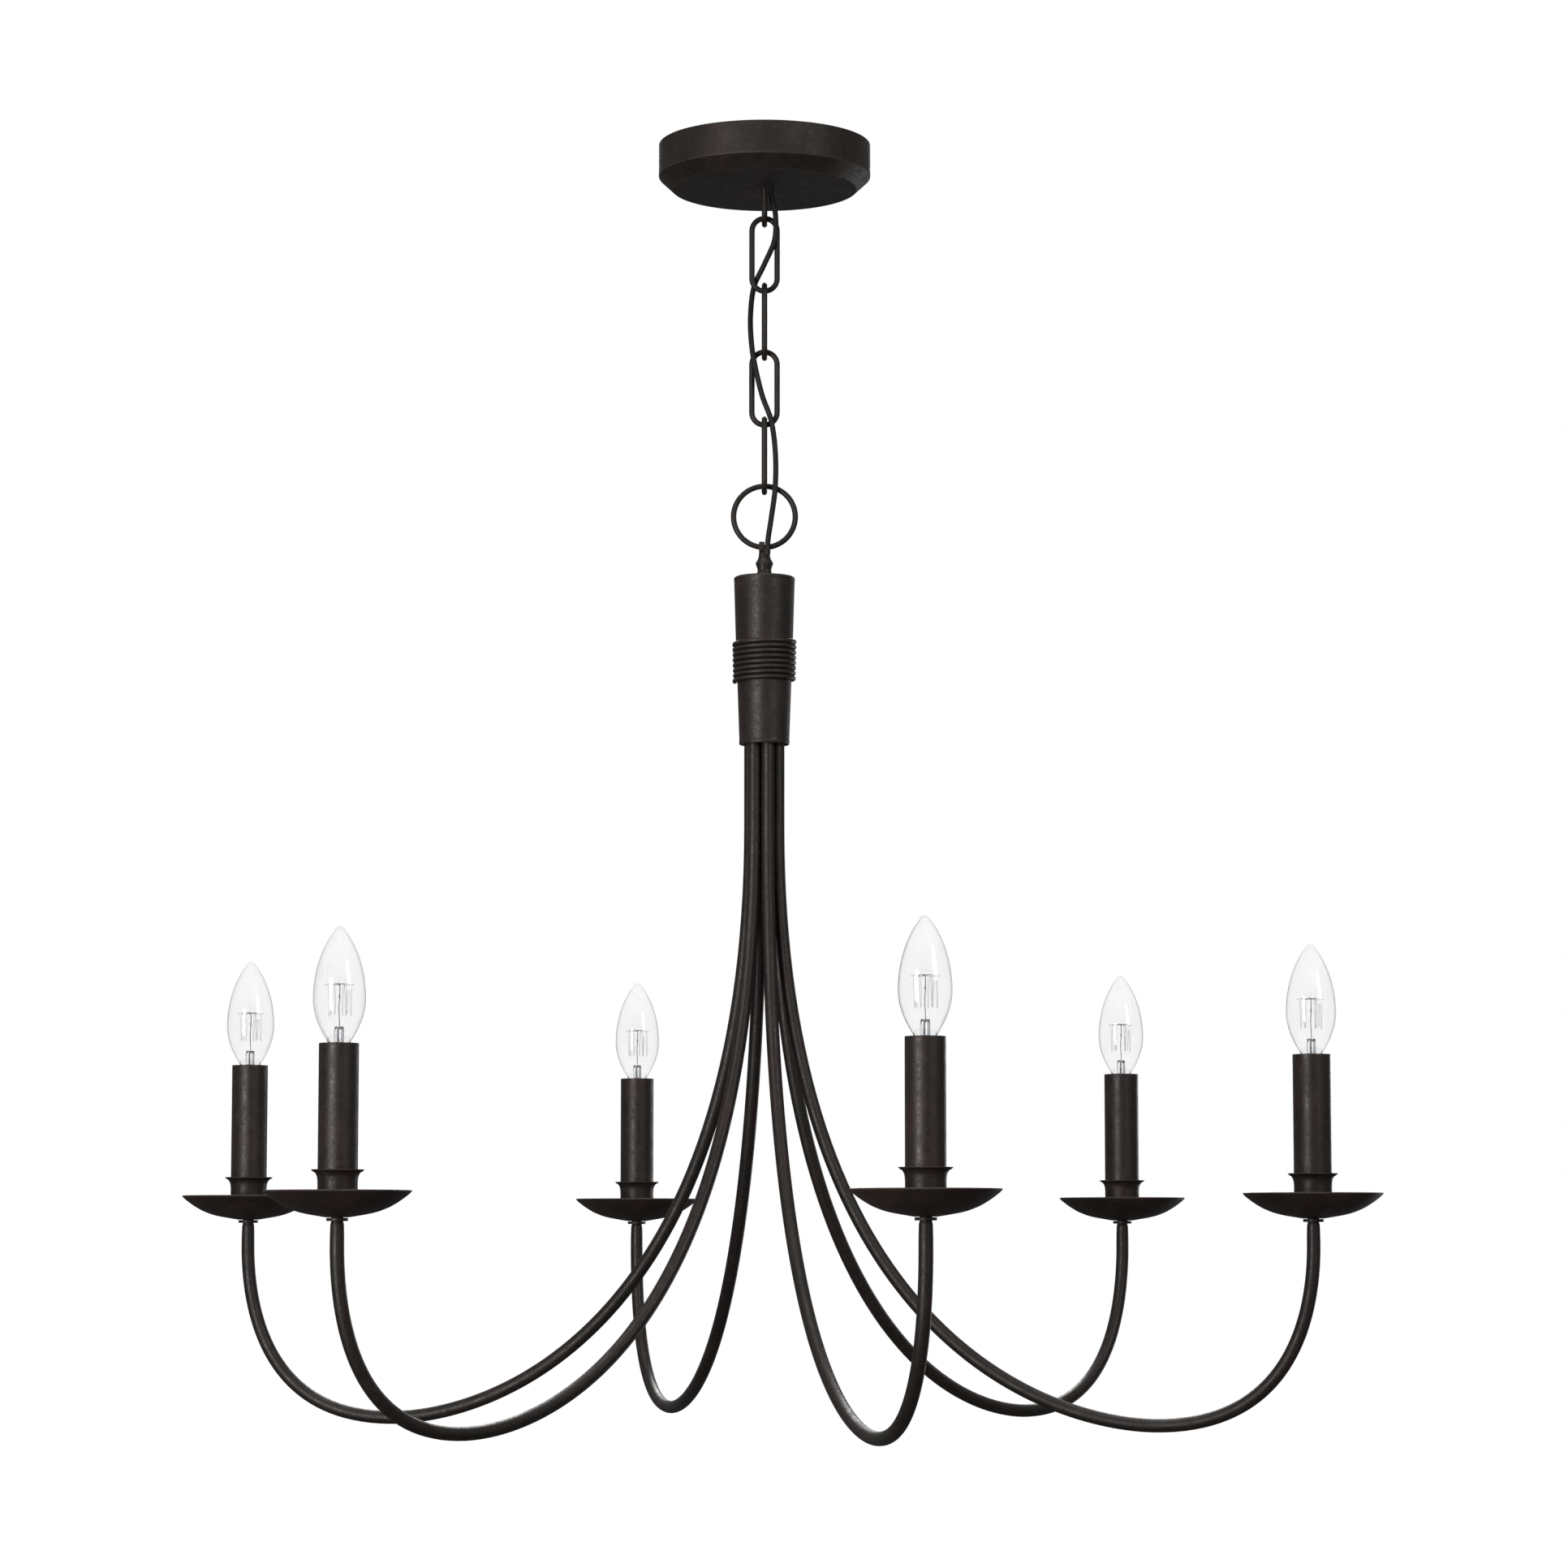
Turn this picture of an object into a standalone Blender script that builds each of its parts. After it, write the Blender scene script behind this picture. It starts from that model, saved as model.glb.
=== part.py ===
"""Six-arm candle chandelier on a short chain, in metres, +Z up.

The origin is the middle of the ceiling face, so everything hangs below z = 0.
Lengths are written in millimetres and turned into metres by MM.
"""
import math

import bmesh
import bpy
from mathutils import Vector

MM = 0.001
GAP = 0.3              # clearance between touching pieces, in millimetres

# Canopy and the strap inside it
CANOPY_RADIUS = 70.8
CANOPY_FACE_RADIUS = 61.5
CANOPY_SIDE = 21.6
CANOPY_DEPTH = 30.3
CANOPY_SHEET = 1.2
SLOT_X = (-2.6, 6.6)   # the slot in the canopy that the loop and the cord pass through
SLOT_Y = 10.8
STRAP_WIDTH = 16.0
STRAP_THICKNESS = 2.0
STRAP_REACH = 68.1
STRAP_TAB = 14.0
STRAP_HOLES = 88.9     # 3 1/2 in between the outlet box screws
BOX_HOLE_RADIUS = 2.6
STIRRUP_RADIUS = 2.0
STIRRUP_BEND = 7.0
CANOPY_SCREW_DEPTH = 8.0
SCREW_RADIUS = 1.6
SCREW_HOLE_RADIUS = 1.95
SIDE_HOLE_SPAN = (60.0, 80.0)   # the hole cutters' reach through canopy and tabs

# Chain
WIRE = 1.85            # radius of the chain wire
LINK_LENGTH = 53.0
LINK_WIDTH = 20.5
LINK_COUNT = 4
LOOP_BOTTOM = -55.5
LOOP_TOP = -10.5
PITCH = LINK_LENGTH - 4 * WIRE - GAP
RING_DIAMETER = 44.7
FIRST_LINK_TOP = LOOP_BOTTOM + 4 * WIRE + GAP
RING_TOP = FIRST_LINK_TOP - LINK_COUNT * PITCH
RING_WIRE_BOTTOM = RING_TOP - RING_DIAMETER + WIRE   # centre of the ring's lowest wire

# Stem
EAR_X = (-3.3, 0.0)    # the ear stands beside the supply cord, left of the axis
EAR_RADIUS = 4.1
EAR_HOLE = 2.6
BODY_TOP = -291.9
BODY_BOTTOM = -403.7
BODY_SHEET = 1.5
STUD_RADIUS = 3.5
STUD_HOLE = 3.9
STUD_DEPTH = 9.0
HUB_RADIUS = 9.5
HUB_SHOULDER = 6.6
HUB_CORE = 4.5
WRAP_TOP = -335.4      # wire centre where the first full turn starts, on the +X side
WRAP_RADIUS = 19.45
WRAP_PITCH = 3.45
WRAP_WIRE = 1.57
WRAP_LEAD = 60.0       # degrees of wire before the first full turn
WRAP_TURNS = 7.5

# Arms and candles
ARM_COUNT = 6
FIRST_ARM = 15.25      # degrees from -Y towards +X
ARM_RADIUS = 4.35
ARM_NECK = 3.75
ARM_WALL = 1.0
ARM_TOP = -345.0
ARM_REACH = 360.0
SEAT_Z = -714.0        # level that the candle parts' heights are measured from
SEAT_RADIUS = 6.5
SEAT_SPAN = (-1.9, -3.75)   # top and bottom of the seat disc
ARM_ROUTE = [(9.3, -470), (12.1, -523), (22.0, -598), (43.4, -672.4), (82.4, -746), (134, -800.4),
             (195, -834.6), (256, -846.5), (310.5, -835), (345.3, -799.5), (357.7, -761)]

# Candle parts, with heights from SEAT_Z
CANDLE_SIDES = 10
PAN_SHEET = 0.9
CUP_SHEET = 0.4
HOLE_RADIUS = 4.3      # hole in pan and cup around the arm's neck
FOOT_BOTTOM = 0.4      # the lampholder's foot stands on the cup's floor
SLEEVE_BOTTOM = 1.2
SLEEVE_TOP = 102.3
SLEEVE_RADIUS = 12.0
SLEEVE_WALL = 1.0
SLEEVE_SWAGE = 0.7     # the sleeve's lower end is narrower, so it drops into a cup of its own width
SWAGE_TOP = 25.4
HOLDER_TOP = 100.0
HOLDER_FLOOR = 78.0
HOLDER_BORE = 6.35
BASE_RADIUS = 5.95
GLASS_TIP = 172.2
GLASS_WIDEST = 129.2
GLASS_RADIUS = 15.8
GLASS_BOTTOM = 100.6
GLASS_WALL = 0.8

# Supply cord, from the ceiling down through the chain to the stem
CORD_RADIUS = 1.8
CORD_ROUTE = [(12.5, 13.5, -0.6), (10.0, 10.5, -14.0), (4.3, 0.5, -30.0), (7.3, -4.0, -48.0),
              (6.7, -4.0, -65.0), (0.0, 0.0, -80.5), (-7.0, 4.3, -95.0), (-9.3, 2.6, -114.0),
              (-8.9, -3.0, -132.0), (-6.9, -4.3, -147.5), (-1.5, -4.3, -170.5), (4.5, -4.3, -187.5),
              (7.3, -4.2, -210.0), (7.1, -4.2, -233.0), (4.6, -4.2, -252.5), (2.4, -4.2, -267.5),
              (2.1, -4.0, -274.8)]
CORD_INLET = [(2.1, -4.0, -275.5), (1.5, -2.4, -280.0)]
INLET_RADIUS = 2.0


def clear_scene():
    for item in list(bpy.data.objects):
        bpy.data.objects.remove(item, do_unlink=True)


def new_collection(name):
    collection = bpy.data.collections.new(name)
    bpy.context.scene.collection.children.link(collection)
    return collection


def material(name, colour, roughness, metallic, alpha=1.0):
    made = bpy.data.materials.new(name)
    made.use_nodes = True
    shader = made.node_tree.nodes["Principled BSDF"]
    shader.inputs["Base Color"].default_value = (*colour, 1.0)
    shader.inputs["Roughness"].default_value = roughness
    shader.inputs["Metallic"].default_value = metallic
    shader.inputs["Alpha"].default_value = alpha
    made.diffuse_color = (*colour, alpha)
    return made


def bronze(name, shade=1.0):
    """Satin brown-black finish; shade sets how light it is."""
    colour = [shade * value for value in (0.018, 0.0145, 0.0125)]
    return material(name, colour, 0.5, 0.6)


def smooth_route(points, steps):
    """Points along a Catmull-Rom curve through the given points, steps to each span."""
    knots = [Vector(point) for point in points]
    knots = [2 * knots[0] - knots[1]] + knots + [2 * knots[-1] - knots[-2]]
    route = []
    for before, start, end, after in zip(knots, knots[1:], knots[2:], knots[3:]):
        length = (end - start).length
        leave = (end - before) * (length / ((start - before).length + length))
        arrive = (after - start) * (length / ((after - end).length + length))
        for step in range(steps):
            t = step / steps
            route.append((2 * t**3 - 3 * t**2 + 1) * start + (t**3 - 2 * t**2 + t) * leave
                         + (3 * t**2 - 2 * t**3) * end + (t**3 - t**2) * arrive)
    return route + [knots[-2]]


def bezier(start, leave, arrive, end, steps):
    """Points of one cubic Bezier piece of an outline, without its last point."""
    points = []
    for step in range(steps):
        t = step / steps
        points.append(tuple((1 - t)**3 * a + 3 * t * (1 - t)**2 * b + 3 * t**2 * (1 - t) * c + t**3 * d
                            for a, b, c, d in zip(start, leave, arrive, end)))
    return points


def place(item, location, parent=None, turn=0.0):
    """Put an object at a world place in millimetres, under an unrotated parent if it has one."""
    world = Vector(location) * MM
    item.parent = parent
    item.location = world - parent.location if parent else world
    item.rotation_euler = (0.0, 0.0, turn)
    return item


def add_object(name, data, collection, surface=None):
    made = bpy.data.objects.new(name, data)
    collection.objects.link(made)
    if surface:
        data.materials.append(surface)
    return made


def pivot(name, location, collection, parent=None):
    empty = bpy.data.objects.new(name, None)
    empty.empty_display_size = 0.02
    collection.objects.link(empty)
    return place(empty, location, parent)


def turned(name, outline, steps, surface, collection, loop=False, sheet=0.0):
    """Turn an outline of (radius, height) points about Z; sheet thickens an open outline inwards."""
    mesh = bpy.data.meshes.new(name)
    edges = [(i, i + 1) for i in range(len(outline) - 1)]
    if loop:
        edges.append((len(outline) - 1, 0))
    mesh.from_pydata([(radius * MM, 0.0, height * MM) for radius, height in outline], edges, [])
    made = add_object(name, mesh, collection, surface)
    screw = made.modifiers.new("Turn", "SCREW")
    screw.steps = steps
    screw.render_steps = steps
    screw.use_merge_vertices = True
    screw.merge_threshold = 0.00001
    screw.use_smooth_shade = True
    if sheet:
        solid = made.modifiers.new("Sheet", "SOLIDIFY")
        solid.thickness = sheet * MM
        solid.offset = -1.0
        solid.use_even_offset = True
    return made


def tube(name, points, radius, surface, collection, closed=False, capped=True, radii=None):
    """A round wire or tube through points in millimetres."""
    curve = bpy.data.curves.new(name, "CURVE")
    curve.dimensions = "3D"
    curve.bevel_depth = radius * MM
    curve.bevel_resolution = 2
    curve.use_fill_caps = capped
    spline = curve.splines.new("POLY")
    spline.points.add(len(points) - 1)
    for index, point in enumerate(points):
        spline.points[index].co = (*(Vector(point) * MM), 1.0)
        spline.points[index].radius = radii[index] / radius if radii else 1.0
    spline.use_cyclic_u = closed
    return add_object(name, curve, collection, surface)


def as_mesh(item):
    """Replace a curve object by a mesh object of the same name and place."""
    bpy.context.view_layer.update()
    graph = bpy.context.evaluated_depsgraph_get()
    mesh = bpy.data.meshes.new_from_object(item.evaluated_get(graph))
    work = bmesh.new()
    work.from_mesh(mesh)
    bmesh.ops.remove_doubles(work, verts=work.verts, dist=0.00001)
    work.to_mesh(mesh)
    work.free()
    name = item.name
    collection = item.users_collection[0]
    world = item.matrix_world.copy()
    bpy.data.objects.remove(item, do_unlink=True)
    made = add_object(name, mesh, collection)
    made.matrix_world = world
    return made


def box(name, low, high, collection, surface=None):
    """A box between two corners in millimetres."""
    mesh = bpy.data.meshes.new(name)
    work = bmesh.new()
    bmesh.ops.create_cube(work, size=1.0)
    low, high = Vector(low) * MM, Vector(high) * MM
    for vertex in work.verts:
        vertex.co = Vector(((low[i] + high[i]) / 2 + vertex.co[i] * (high[i] - low[i]) for i in range(3)))
    work.to_mesh(mesh)
    work.free()
    return add_object(name, mesh, collection, surface)


def rod(name, start, end, radius, collection, surface=None, sides=12):
    """A cylinder between two points in millimetres."""
    start, end = Vector(start) * MM, Vector(end) * MM
    mesh = bpy.data.meshes.new(name)
    work = bmesh.new()
    bmesh.ops.create_cone(work, cap_ends=True, segments=sides, radius1=radius * MM, radius2=radius * MM,
                          depth=(end - start).length)
    work.to_mesh(mesh)
    work.free()
    made = add_object(name, mesh, collection, surface)
    made.location = (start + end) / 2
    made.rotation_euler = (end - start).to_track_quat("Z", "Y").to_euler()
    return made


def combine(target, tool, operation):
    """Join a tool to a piece or cut it out, and keep the tool as a wire guide."""
    cut = target.modifiers.new(tool.name, "BOOLEAN")
    cut.operation = operation
    cut.object = tool
    cut.solver = "EXACT"
    tool.hide_render = True
    tool.display_type = "WIRE"


def racetrack(width, length, top, plane, arc_steps=6):
    """Centre line of a link: two straight sides and two half circles, hanging from its top."""
    radius = width / 2 - WIRE
    upper = top - width / 2
    lower = top - length + width / 2
    points = []
    for middle, first in ((upper, 0.0), (lower, math.pi)):
        for step in range(arc_steps + 1):
            angle = first + math.pi * step / arc_steps
            points.append((radius * math.cos(angle), middle + radius * math.sin(angle)))
    if plane == "XZ":
        return [(across, 0.0, height) for across, height in points]
    return [(0.0, across, height) for across, height in points]


def wire_loop(name, points, origin, surface, collection):
    """A closed chain wire whose object origin lies on the pivot that it hangs from."""
    moved = [Vector(point) - Vector((0.0, 0.0, origin)) for point in points]
    return place(tube(name, moved, WIRE, surface, collection, closed=True), (0.0, 0.0, origin))


def side_hole(name, side, cutters):
    """Cutter for a canopy screw's hole on the +X (1) or -X (-1) side."""
    inner, outer = (side * reach for reach in SIDE_HOLE_SPAN)
    return rod(name, (inner, 0, -CANOPY_SCREW_DEPTH), (outer, 0, -CANOPY_SCREW_DEPTH), SCREW_HOLE_RADIUS,
               cutters)


def make_canopy(parts, cutters):
    outline = [(CANOPY_RADIUS, 0.0), (CANOPY_RADIUS, -CANOPY_SIDE),
               (CANOPY_FACE_RADIUS + 0.8, -CANOPY_DEPTH + 0.5), (CANOPY_FACE_RADIUS, -CANOPY_DEPTH),
               (0.0, -CANOPY_DEPTH)]
    canopy = turned("canopy", outline, 24, bronze("canopy_finish", 1.15), parts, sheet=CANOPY_SHEET)
    slot = box("canopy_slot", (SLOT_X[0], -SLOT_Y, -CANOPY_DEPTH - 2), (SLOT_X[1], SLOT_Y, -CANOPY_DEPTH + 4),
               cutters)
    combine(canopy, slot, "DIFFERENCE")
    for side, label in ((1, "right"), (-1, "left")):
        hole = side_hole("canopy_hole_" + label, side, cutters)
        combine(canopy, hole, "DIFFERENCE")
    return canopy


def make_strap(parts, cutters):
    """Mounting strap with turned-down tabs and the stirrup that the canopy loop hangs on."""
    half = STRAP_WIDTH / 2
    surface = material("strap_zinc", (0.5, 0.5, 0.48), 0.4, 0.9)
    strap = box("mounting_strap", (-STRAP_REACH, -half, -STRAP_THICKNESS), (STRAP_REACH, half, 0.0),
                parts, surface)
    tab_inner = STRAP_REACH - STRAP_THICKNESS
    for side, label in ((1, "right"), (-1, "left")):
        ends = sorted((side * tab_inner, side * STRAP_REACH))
        tab = box("strap_tab_" + label, (ends[0], -half, -STRAP_TAB), (ends[1], half, -STRAP_THICKNESS / 2),
                  cutters)
        combine(strap, tab, "UNION")
        box_hole = rod("strap_box_hole_" + label, (side * STRAP_HOLES / 2, 0, -5),
                       (side * STRAP_HOLES / 2, 0, 5), BOX_HOLE_RADIUS, cutters)
        combine(strap, box_hole, "DIFFERENCE")
        tab_hole = side_hole("strap_tab_hole_" + label, side, cutters)
        combine(strap, tab_hole, "DIFFERENCE")
    bottom = LOOP_TOP - WIRE - WIRE - GAP - STIRRUP_RADIUS
    middle = bottom + STIRRUP_BEND
    hook = [(-STIRRUP_BEND, 0, -1.0)]
    for step in range(7):
        angle = math.pi + math.pi * step / 6
        hook.append((STIRRUP_BEND * math.cos(angle), 0, middle + STIRRUP_BEND * math.sin(angle)))
    hook.append((STIRRUP_BEND, 0, -1.0))
    stirrup = as_mesh(tube("strap_stirrup", hook, STIRRUP_RADIUS, None, cutters))
    combine(strap, stirrup, "UNION")
    return strap


def make_canopy_screws(parts):
    """Headless screws in the strap's tabs; the canopy's side hangs on their flush outer ends."""
    steel = bronze("screw_finish", 1.3)
    outer_end = CANOPY_RADIUS - 0.2
    inner_end = STRAP_REACH - 7.0
    outline = [(0.0, outer_end), (SCREW_RADIUS - 0.4, outer_end), (SCREW_RADIUS, outer_end - 0.4),
               (SCREW_RADIUS, inner_end), (0.0, inner_end)]
    for side, label in ((1, "right"), (-1, "left")):
        screw = turned("canopy_screw_" + label, outline, 10, steel, parts)
        screw.location = (0.0, 0.0, -CANOPY_SCREW_DEPTH * MM)
        screw.rotation_euler = (0.0, side * math.pi / 2, 0.0)


def make_chain(parts):
    """Canopy loop, links and ring; returns the height of each pivot."""
    finish = bronze("chain_finish", 1.5)
    length = LOOP_TOP - LOOP_BOTTOM
    wire_loop("canopy_loop", racetrack(LINK_WIDTH, length, LOOP_TOP, "YZ"), LOOP_TOP, finish, parts)
    pivots = [LOOP_BOTTOM + WIRE]
    for index in range(LINK_COUNT):
        top = FIRST_LINK_TOP - index * PITCH
        plane = "XZ" if index % 2 == 0 else "YZ"
        points = racetrack(LINK_WIDTH, LINK_LENGTH, top, plane)
        wire_loop("chain_link_%d" % (index + 1), points, pivots[-1], finish, parts)
        pivots.append(top - LINK_LENGTH + WIRE)
    radius = RING_DIAMETER / 2 - WIRE
    middle = RING_TOP - RING_DIAMETER / 2
    turns = [2 * math.pi * step / 22 for step in range(22)]
    ring = [(radius * math.cos(angle), 0.0, middle + radius * math.sin(angle)) for angle in turns]
    wire_loop("ring", ring, pivots[-1], finish, parts)


def make_finial(parts, cutters, parent):
    """Ear for the ring, neck, bead and stud in one turned piece, with the cord's inlet on its neck."""
    base = BODY_TOP + GAP
    neck_top = RING_WIRE_BOTTOM - WIRE - 1.8
    outline = [(0.0, neck_top), (3.5, neck_top), (3.8, neck_top - 0.5), (4.0, -279.5), (5.2, -281.2),
               (5.65, -282.6), (5.2, -284.4), (4.3, -286.9), (4.7, -289.2), (6.8, base + 0.3), (6.8, base),
               (STUD_RADIUS, base), (STUD_RADIUS, BODY_TOP - STUD_DEPTH), (0.0, BODY_TOP - STUD_DEPTH)]
    surface = bronze("finial_finish", 1.5)
    origin = parent.location.z / MM
    outline = [(radius, height - origin) for radius, height in outline]
    finial = place(turned("finial", outline, 10, surface, parts), (0, 0, origin), parent)
    height = RING_WIRE_BOTTOM - 0.15
    ear = rod("finial_ear", (EAR_X[0], 0, height), (EAR_X[1], 0, height), EAR_RADIUS, cutters, sides=16)
    combine(finial, ear, "UNION")
    inlet = rod("finial_inlet", CORD_INLET[0], CORD_INLET[1], INLET_RADIUS, cutters, sides=8)
    combine(finial, inlet, "UNION")
    hole = rod("finial_eye", (EAR_X[0] - 2, 0, height), (EAR_X[1] + 2, 0, height), EAR_HOLE, cutters)
    combine(finial, hole, "DIFFERENCE")


def make_stem_body(parts, parent):
    """Tapered shell, narrowed a little where the wire is wound on."""
    outline = [(STUD_HOLE, BODY_TOP), (18.8, BODY_TOP), (20.2, BODY_TOP - 1.5),
               (18.95, -331.4), (16.9, -332.4), (16.9, -363.5), (17.75, -364.5), (16.6, -400.0),
               (16.4, BODY_BOTTOM)]
    body = turned("stem_body", outline, 16, bronze("stem_finish"), parts, sheet=BODY_SHEET)
    place(body, (0, 0, 0), parent)


def make_wire_wrap(parts, parent):
    """Round wire wound down the stem, ending on its -X side."""
    step = 30.0
    count = round((WRAP_LEAD + 360.0 * WRAP_TURNS) / step)
    points = []
    for index in range(count + 1):
        degrees = WRAP_LEAD - index * step
        angle = math.radians(degrees)
        height = WRAP_TOP + degrees / 360.0 * WRAP_PITCH
        points.append((WRAP_RADIUS * math.cos(angle), WRAP_RADIUS * math.sin(angle), height))
    wrap = tube("wire_wrap", points, WRAP_WIRE, bronze("wrap_finish", 1.2), parts)
    wrap.data.bevel_resolution = 1
    place(wrap, (0, 0, 0), parent)


def make_hub(parts, parent):
    """Core that the arms are brazed round, screwed up to the finial's stud."""
    top = BODY_TOP - BODY_SHEET - GAP
    socket = BODY_TOP - STUD_DEPTH - 1.0
    bottom = BODY_BOTTOM + 3.7
    outline = [(0.0, socket), (STUD_HOLE, socket), (STUD_HOLE, top), (HUB_RADIUS, top),
               (HUB_RADIUS, top - 3.5), (HUB_SHOULDER, top - 6.0), (HUB_SHOULDER, top - 11.0),
               (HUB_CORE, top - 14.0), (HUB_CORE, bottom), (0.0, bottom)]
    hub = turned("arm_hub", outline, 12, material("hub_steel", (0.25, 0.24, 0.23), 0.5, 0.8), parts)
    place(hub, (0, 0, 0), parent)


def arm_mesh(parts, cutters):
    """One arm as a plain mesh: a hollow J-shaped tube with the candle seat joined to its end."""
    route = smooth_route([(reach, 0.0, height) for reach, height in ARM_ROUTE], 2)
    points = [(ARM_ROUTE[0][0], 0.0, ARM_TOP)] + [tuple(point) for point in route]
    radii = [ARM_RADIUS] * len(points)
    neck = ((-725.0, ARM_RADIUS), (-719.8, 4.1), (-718.3, ARM_NECK), (SEAT_Z + 10.5, ARM_NECK))
    for height, radius in neck:
        points.append((ARM_REACH, 0.0, height))
        radii.append(radius)
    arm = as_mesh(tube("arm", points, ARM_RADIUS, None, parts, capped=False, radii=radii))
    wall = arm.modifiers.new("Wall", "SOLIDIFY")
    wall.thickness = ARM_WALL * MM
    wall.offset = -1.0
    wall.use_even_offset = True
    bore = ARM_NECK - ARM_WALL / 2
    top, bottom = SEAT_SPAN
    outline = [(SEAT_RADIUS, top), (SEAT_RADIUS, bottom), (bore, bottom), (bore, top)]
    seat = turned("arm_seat", outline, 12, None, cutters, loop=True)
    place(seat, (ARM_REACH, 0, SEAT_Z))
    combine(arm, seat, "UNION")
    bpy.context.view_layer.update()
    graph = bpy.context.evaluated_depsgraph_get()
    mesh = bpy.data.meshes.new_from_object(arm.evaluated_get(graph))
    bpy.data.objects.remove(arm, do_unlink=True)
    mesh.shade_smooth()
    mesh.set_sharp_from_angle(angle=math.radians(40))
    return mesh


def make_pan(name, surface, parts):
    outline = [(44.3, 13.9), (40.5, 10.5), (35.5, 7.0), (30.0, 4.0), (24.9, 2.0), (19.1, 0.5), (12.0, -0.75),
               (6.9, -1.6), (HOLE_RADIUS, -1.6)]
    return turned(name, outline, 16, surface, parts, sheet=PAN_SHEET)


def make_cup(name, surface, parts):
    outline = [(15.9, 26.6), (15.0, 25.8), (13.7, 25.0), (12.9, 23.8), (12.4, 22.5), (12.05, 19.5),
               (12.05, 1.1), (11.7, 0.7), (6.9, -0.35), (HOLE_RADIUS, -0.35)]
    return turned(name, outline, CANDLE_SIDES, surface, parts, sheet=CUP_SHEET)


def make_sleeve(name, surface, parts):
    bore = SLEEVE_RADIUS - SLEEVE_WALL
    narrow = SWAGE_TOP - 1.0
    outline = [(SLEEVE_RADIUS, SLEEVE_TOP), (SLEEVE_RADIUS, SWAGE_TOP),
               (SLEEVE_RADIUS - SLEEVE_SWAGE, narrow), (SLEEVE_RADIUS - SLEEVE_SWAGE, SLEEVE_BOTTOM),
               (bore - SLEEVE_SWAGE, SLEEVE_BOTTOM), (bore - SLEEVE_SWAGE, narrow), (bore, SWAGE_TOP),
               (bore, SLEEVE_TOP)]
    return turned(name, outline, CANDLE_SIDES, surface, parts, loop=True)


def make_lampholder(name, surface, parts):
    """Socket on a stem that screws onto the arm's neck and clamps pan and cup on the seat."""
    socket = 8.6
    stem = 5.8
    wires = 2.0
    outline = [(socket, HOLDER_TOP), (socket, HOLDER_FLOOR - 5), (stem, HOLDER_FLOOR - 9),
               (stem, FOOT_BOTTOM), (HOLE_RADIUS, FOOT_BOTTOM), (HOLE_RADIUS, 11.5), (wires, 11.5),
               (wires, HOLDER_FLOOR), (HOLDER_BORE, HOLDER_FLOOR), (HOLDER_BORE, HOLDER_TOP)]
    return turned(name, outline, CANDLE_SIDES, surface, parts, loop=True)


def make_bulb_base(name, surface, parts):
    """Screw cap with the stem and the rod that stand up in the glass."""
    outline = [(0.0, 137.3), (0.6, 137.3), (0.6, 110.3), (2.75, 110.3), (2.75, HOLDER_TOP + GAP),
               (BASE_RADIUS, HOLDER_TOP + GAP), (BASE_RADIUS, HOLDER_FLOOR + 4.0), (3.0, HOLDER_FLOOR + 0.4),
               (0.0, HOLDER_FLOOR + 0.4)]
    return turned(name, outline, CANDLE_SIDES, surface, parts)


def make_bulb_glass(name, surface, parts):
    """Candle-shaped glass, open at its neck."""
    tip, widest, radius = GLASS_TIP, GLASS_WIDEST, GLASS_RADIUS
    outline = bezier((0.0, tip), (9.0, tip - 8.0), (radius, tip - 24.0), (radius, widest), 4)
    outline += bezier((radius, widest), (radius, widest - 11.0), (11.0, widest - 19.5), (6.5, SLEEVE_TOP), 3)
    outline += [(6.5, SLEEVE_TOP), (6.1, GLASS_BOTTOM)]
    return turned(name, outline, CANDLE_SIDES, surface, parts, sheet=GLASS_WALL)


def make_arms(parts, cutters, parent):
    """Six arms, each with its pan, cup, sleeve, lampholder and bulb."""
    mesh = arm_mesh(parts, cutters)
    arm_finish = bronze("arm_finish", 1.05)
    mesh.materials.clear()
    mesh.materials.append(arm_finish)
    surfaces = {
        "pan": bronze("pan_finish", 0.95),
        "cup": bronze("cup_finish"),
        "sleeve": bronze("sleeve_finish"),
        "holder": material("holder_black", (0.02, 0.02, 0.02), 0.45, 0.0),
        "base": material("base_nickel", (0.6, 0.58, 0.54), 0.3, 1.0),
        "glass": material("bulb_clear", (0.95, 0.97, 0.97), 0.03, 0.0, alpha=0.35),
    }
    for index in range(ARM_COUNT):
        label = "_%d" % (index + 1)
        azimuth = math.radians(FIRST_ARM + 360.0 / ARM_COUNT * index)
        turn = azimuth - math.pi / 2
        seat = (ARM_REACH * math.sin(azimuth), -ARM_REACH * math.cos(azimuth), SEAT_Z)
        place(add_object("arm" + label, mesh.copy(), parts), (0, 0, 0), parent, turn)
        place(make_pan("drip_pan" + label, surfaces["pan"], parts), seat, parent, turn)
        place(make_cup("candle_cup" + label, surfaces["cup"], parts), seat, parent, turn)
        place(make_sleeve("candle_sleeve" + label, surfaces["sleeve"], parts), seat, parent, turn)
        place(make_lampholder("lampholder" + label, surfaces["holder"], parts), seat, parent, turn)
        bulb = pivot("bulb_lift" + label, seat, parts, parent)
        for item in (make_bulb_base("bulb_base" + label, surfaces["base"], parts),
                     make_bulb_glass("bulb_glass" + label, surfaces["glass"], parts)):
            item.parent = bulb
            item.rotation_euler.z = turn


def make_cord(parts):
    """Supply cord laced through the chain, whole from the ceiling to the stem's inlet."""
    route = smooth_route(CORD_ROUTE, 3)
    tube("supply_cord", route, CORD_RADIUS, material("cord_jacket", (0.03, 0.025, 0.02), 0.6, 0.0), parts)


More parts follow.
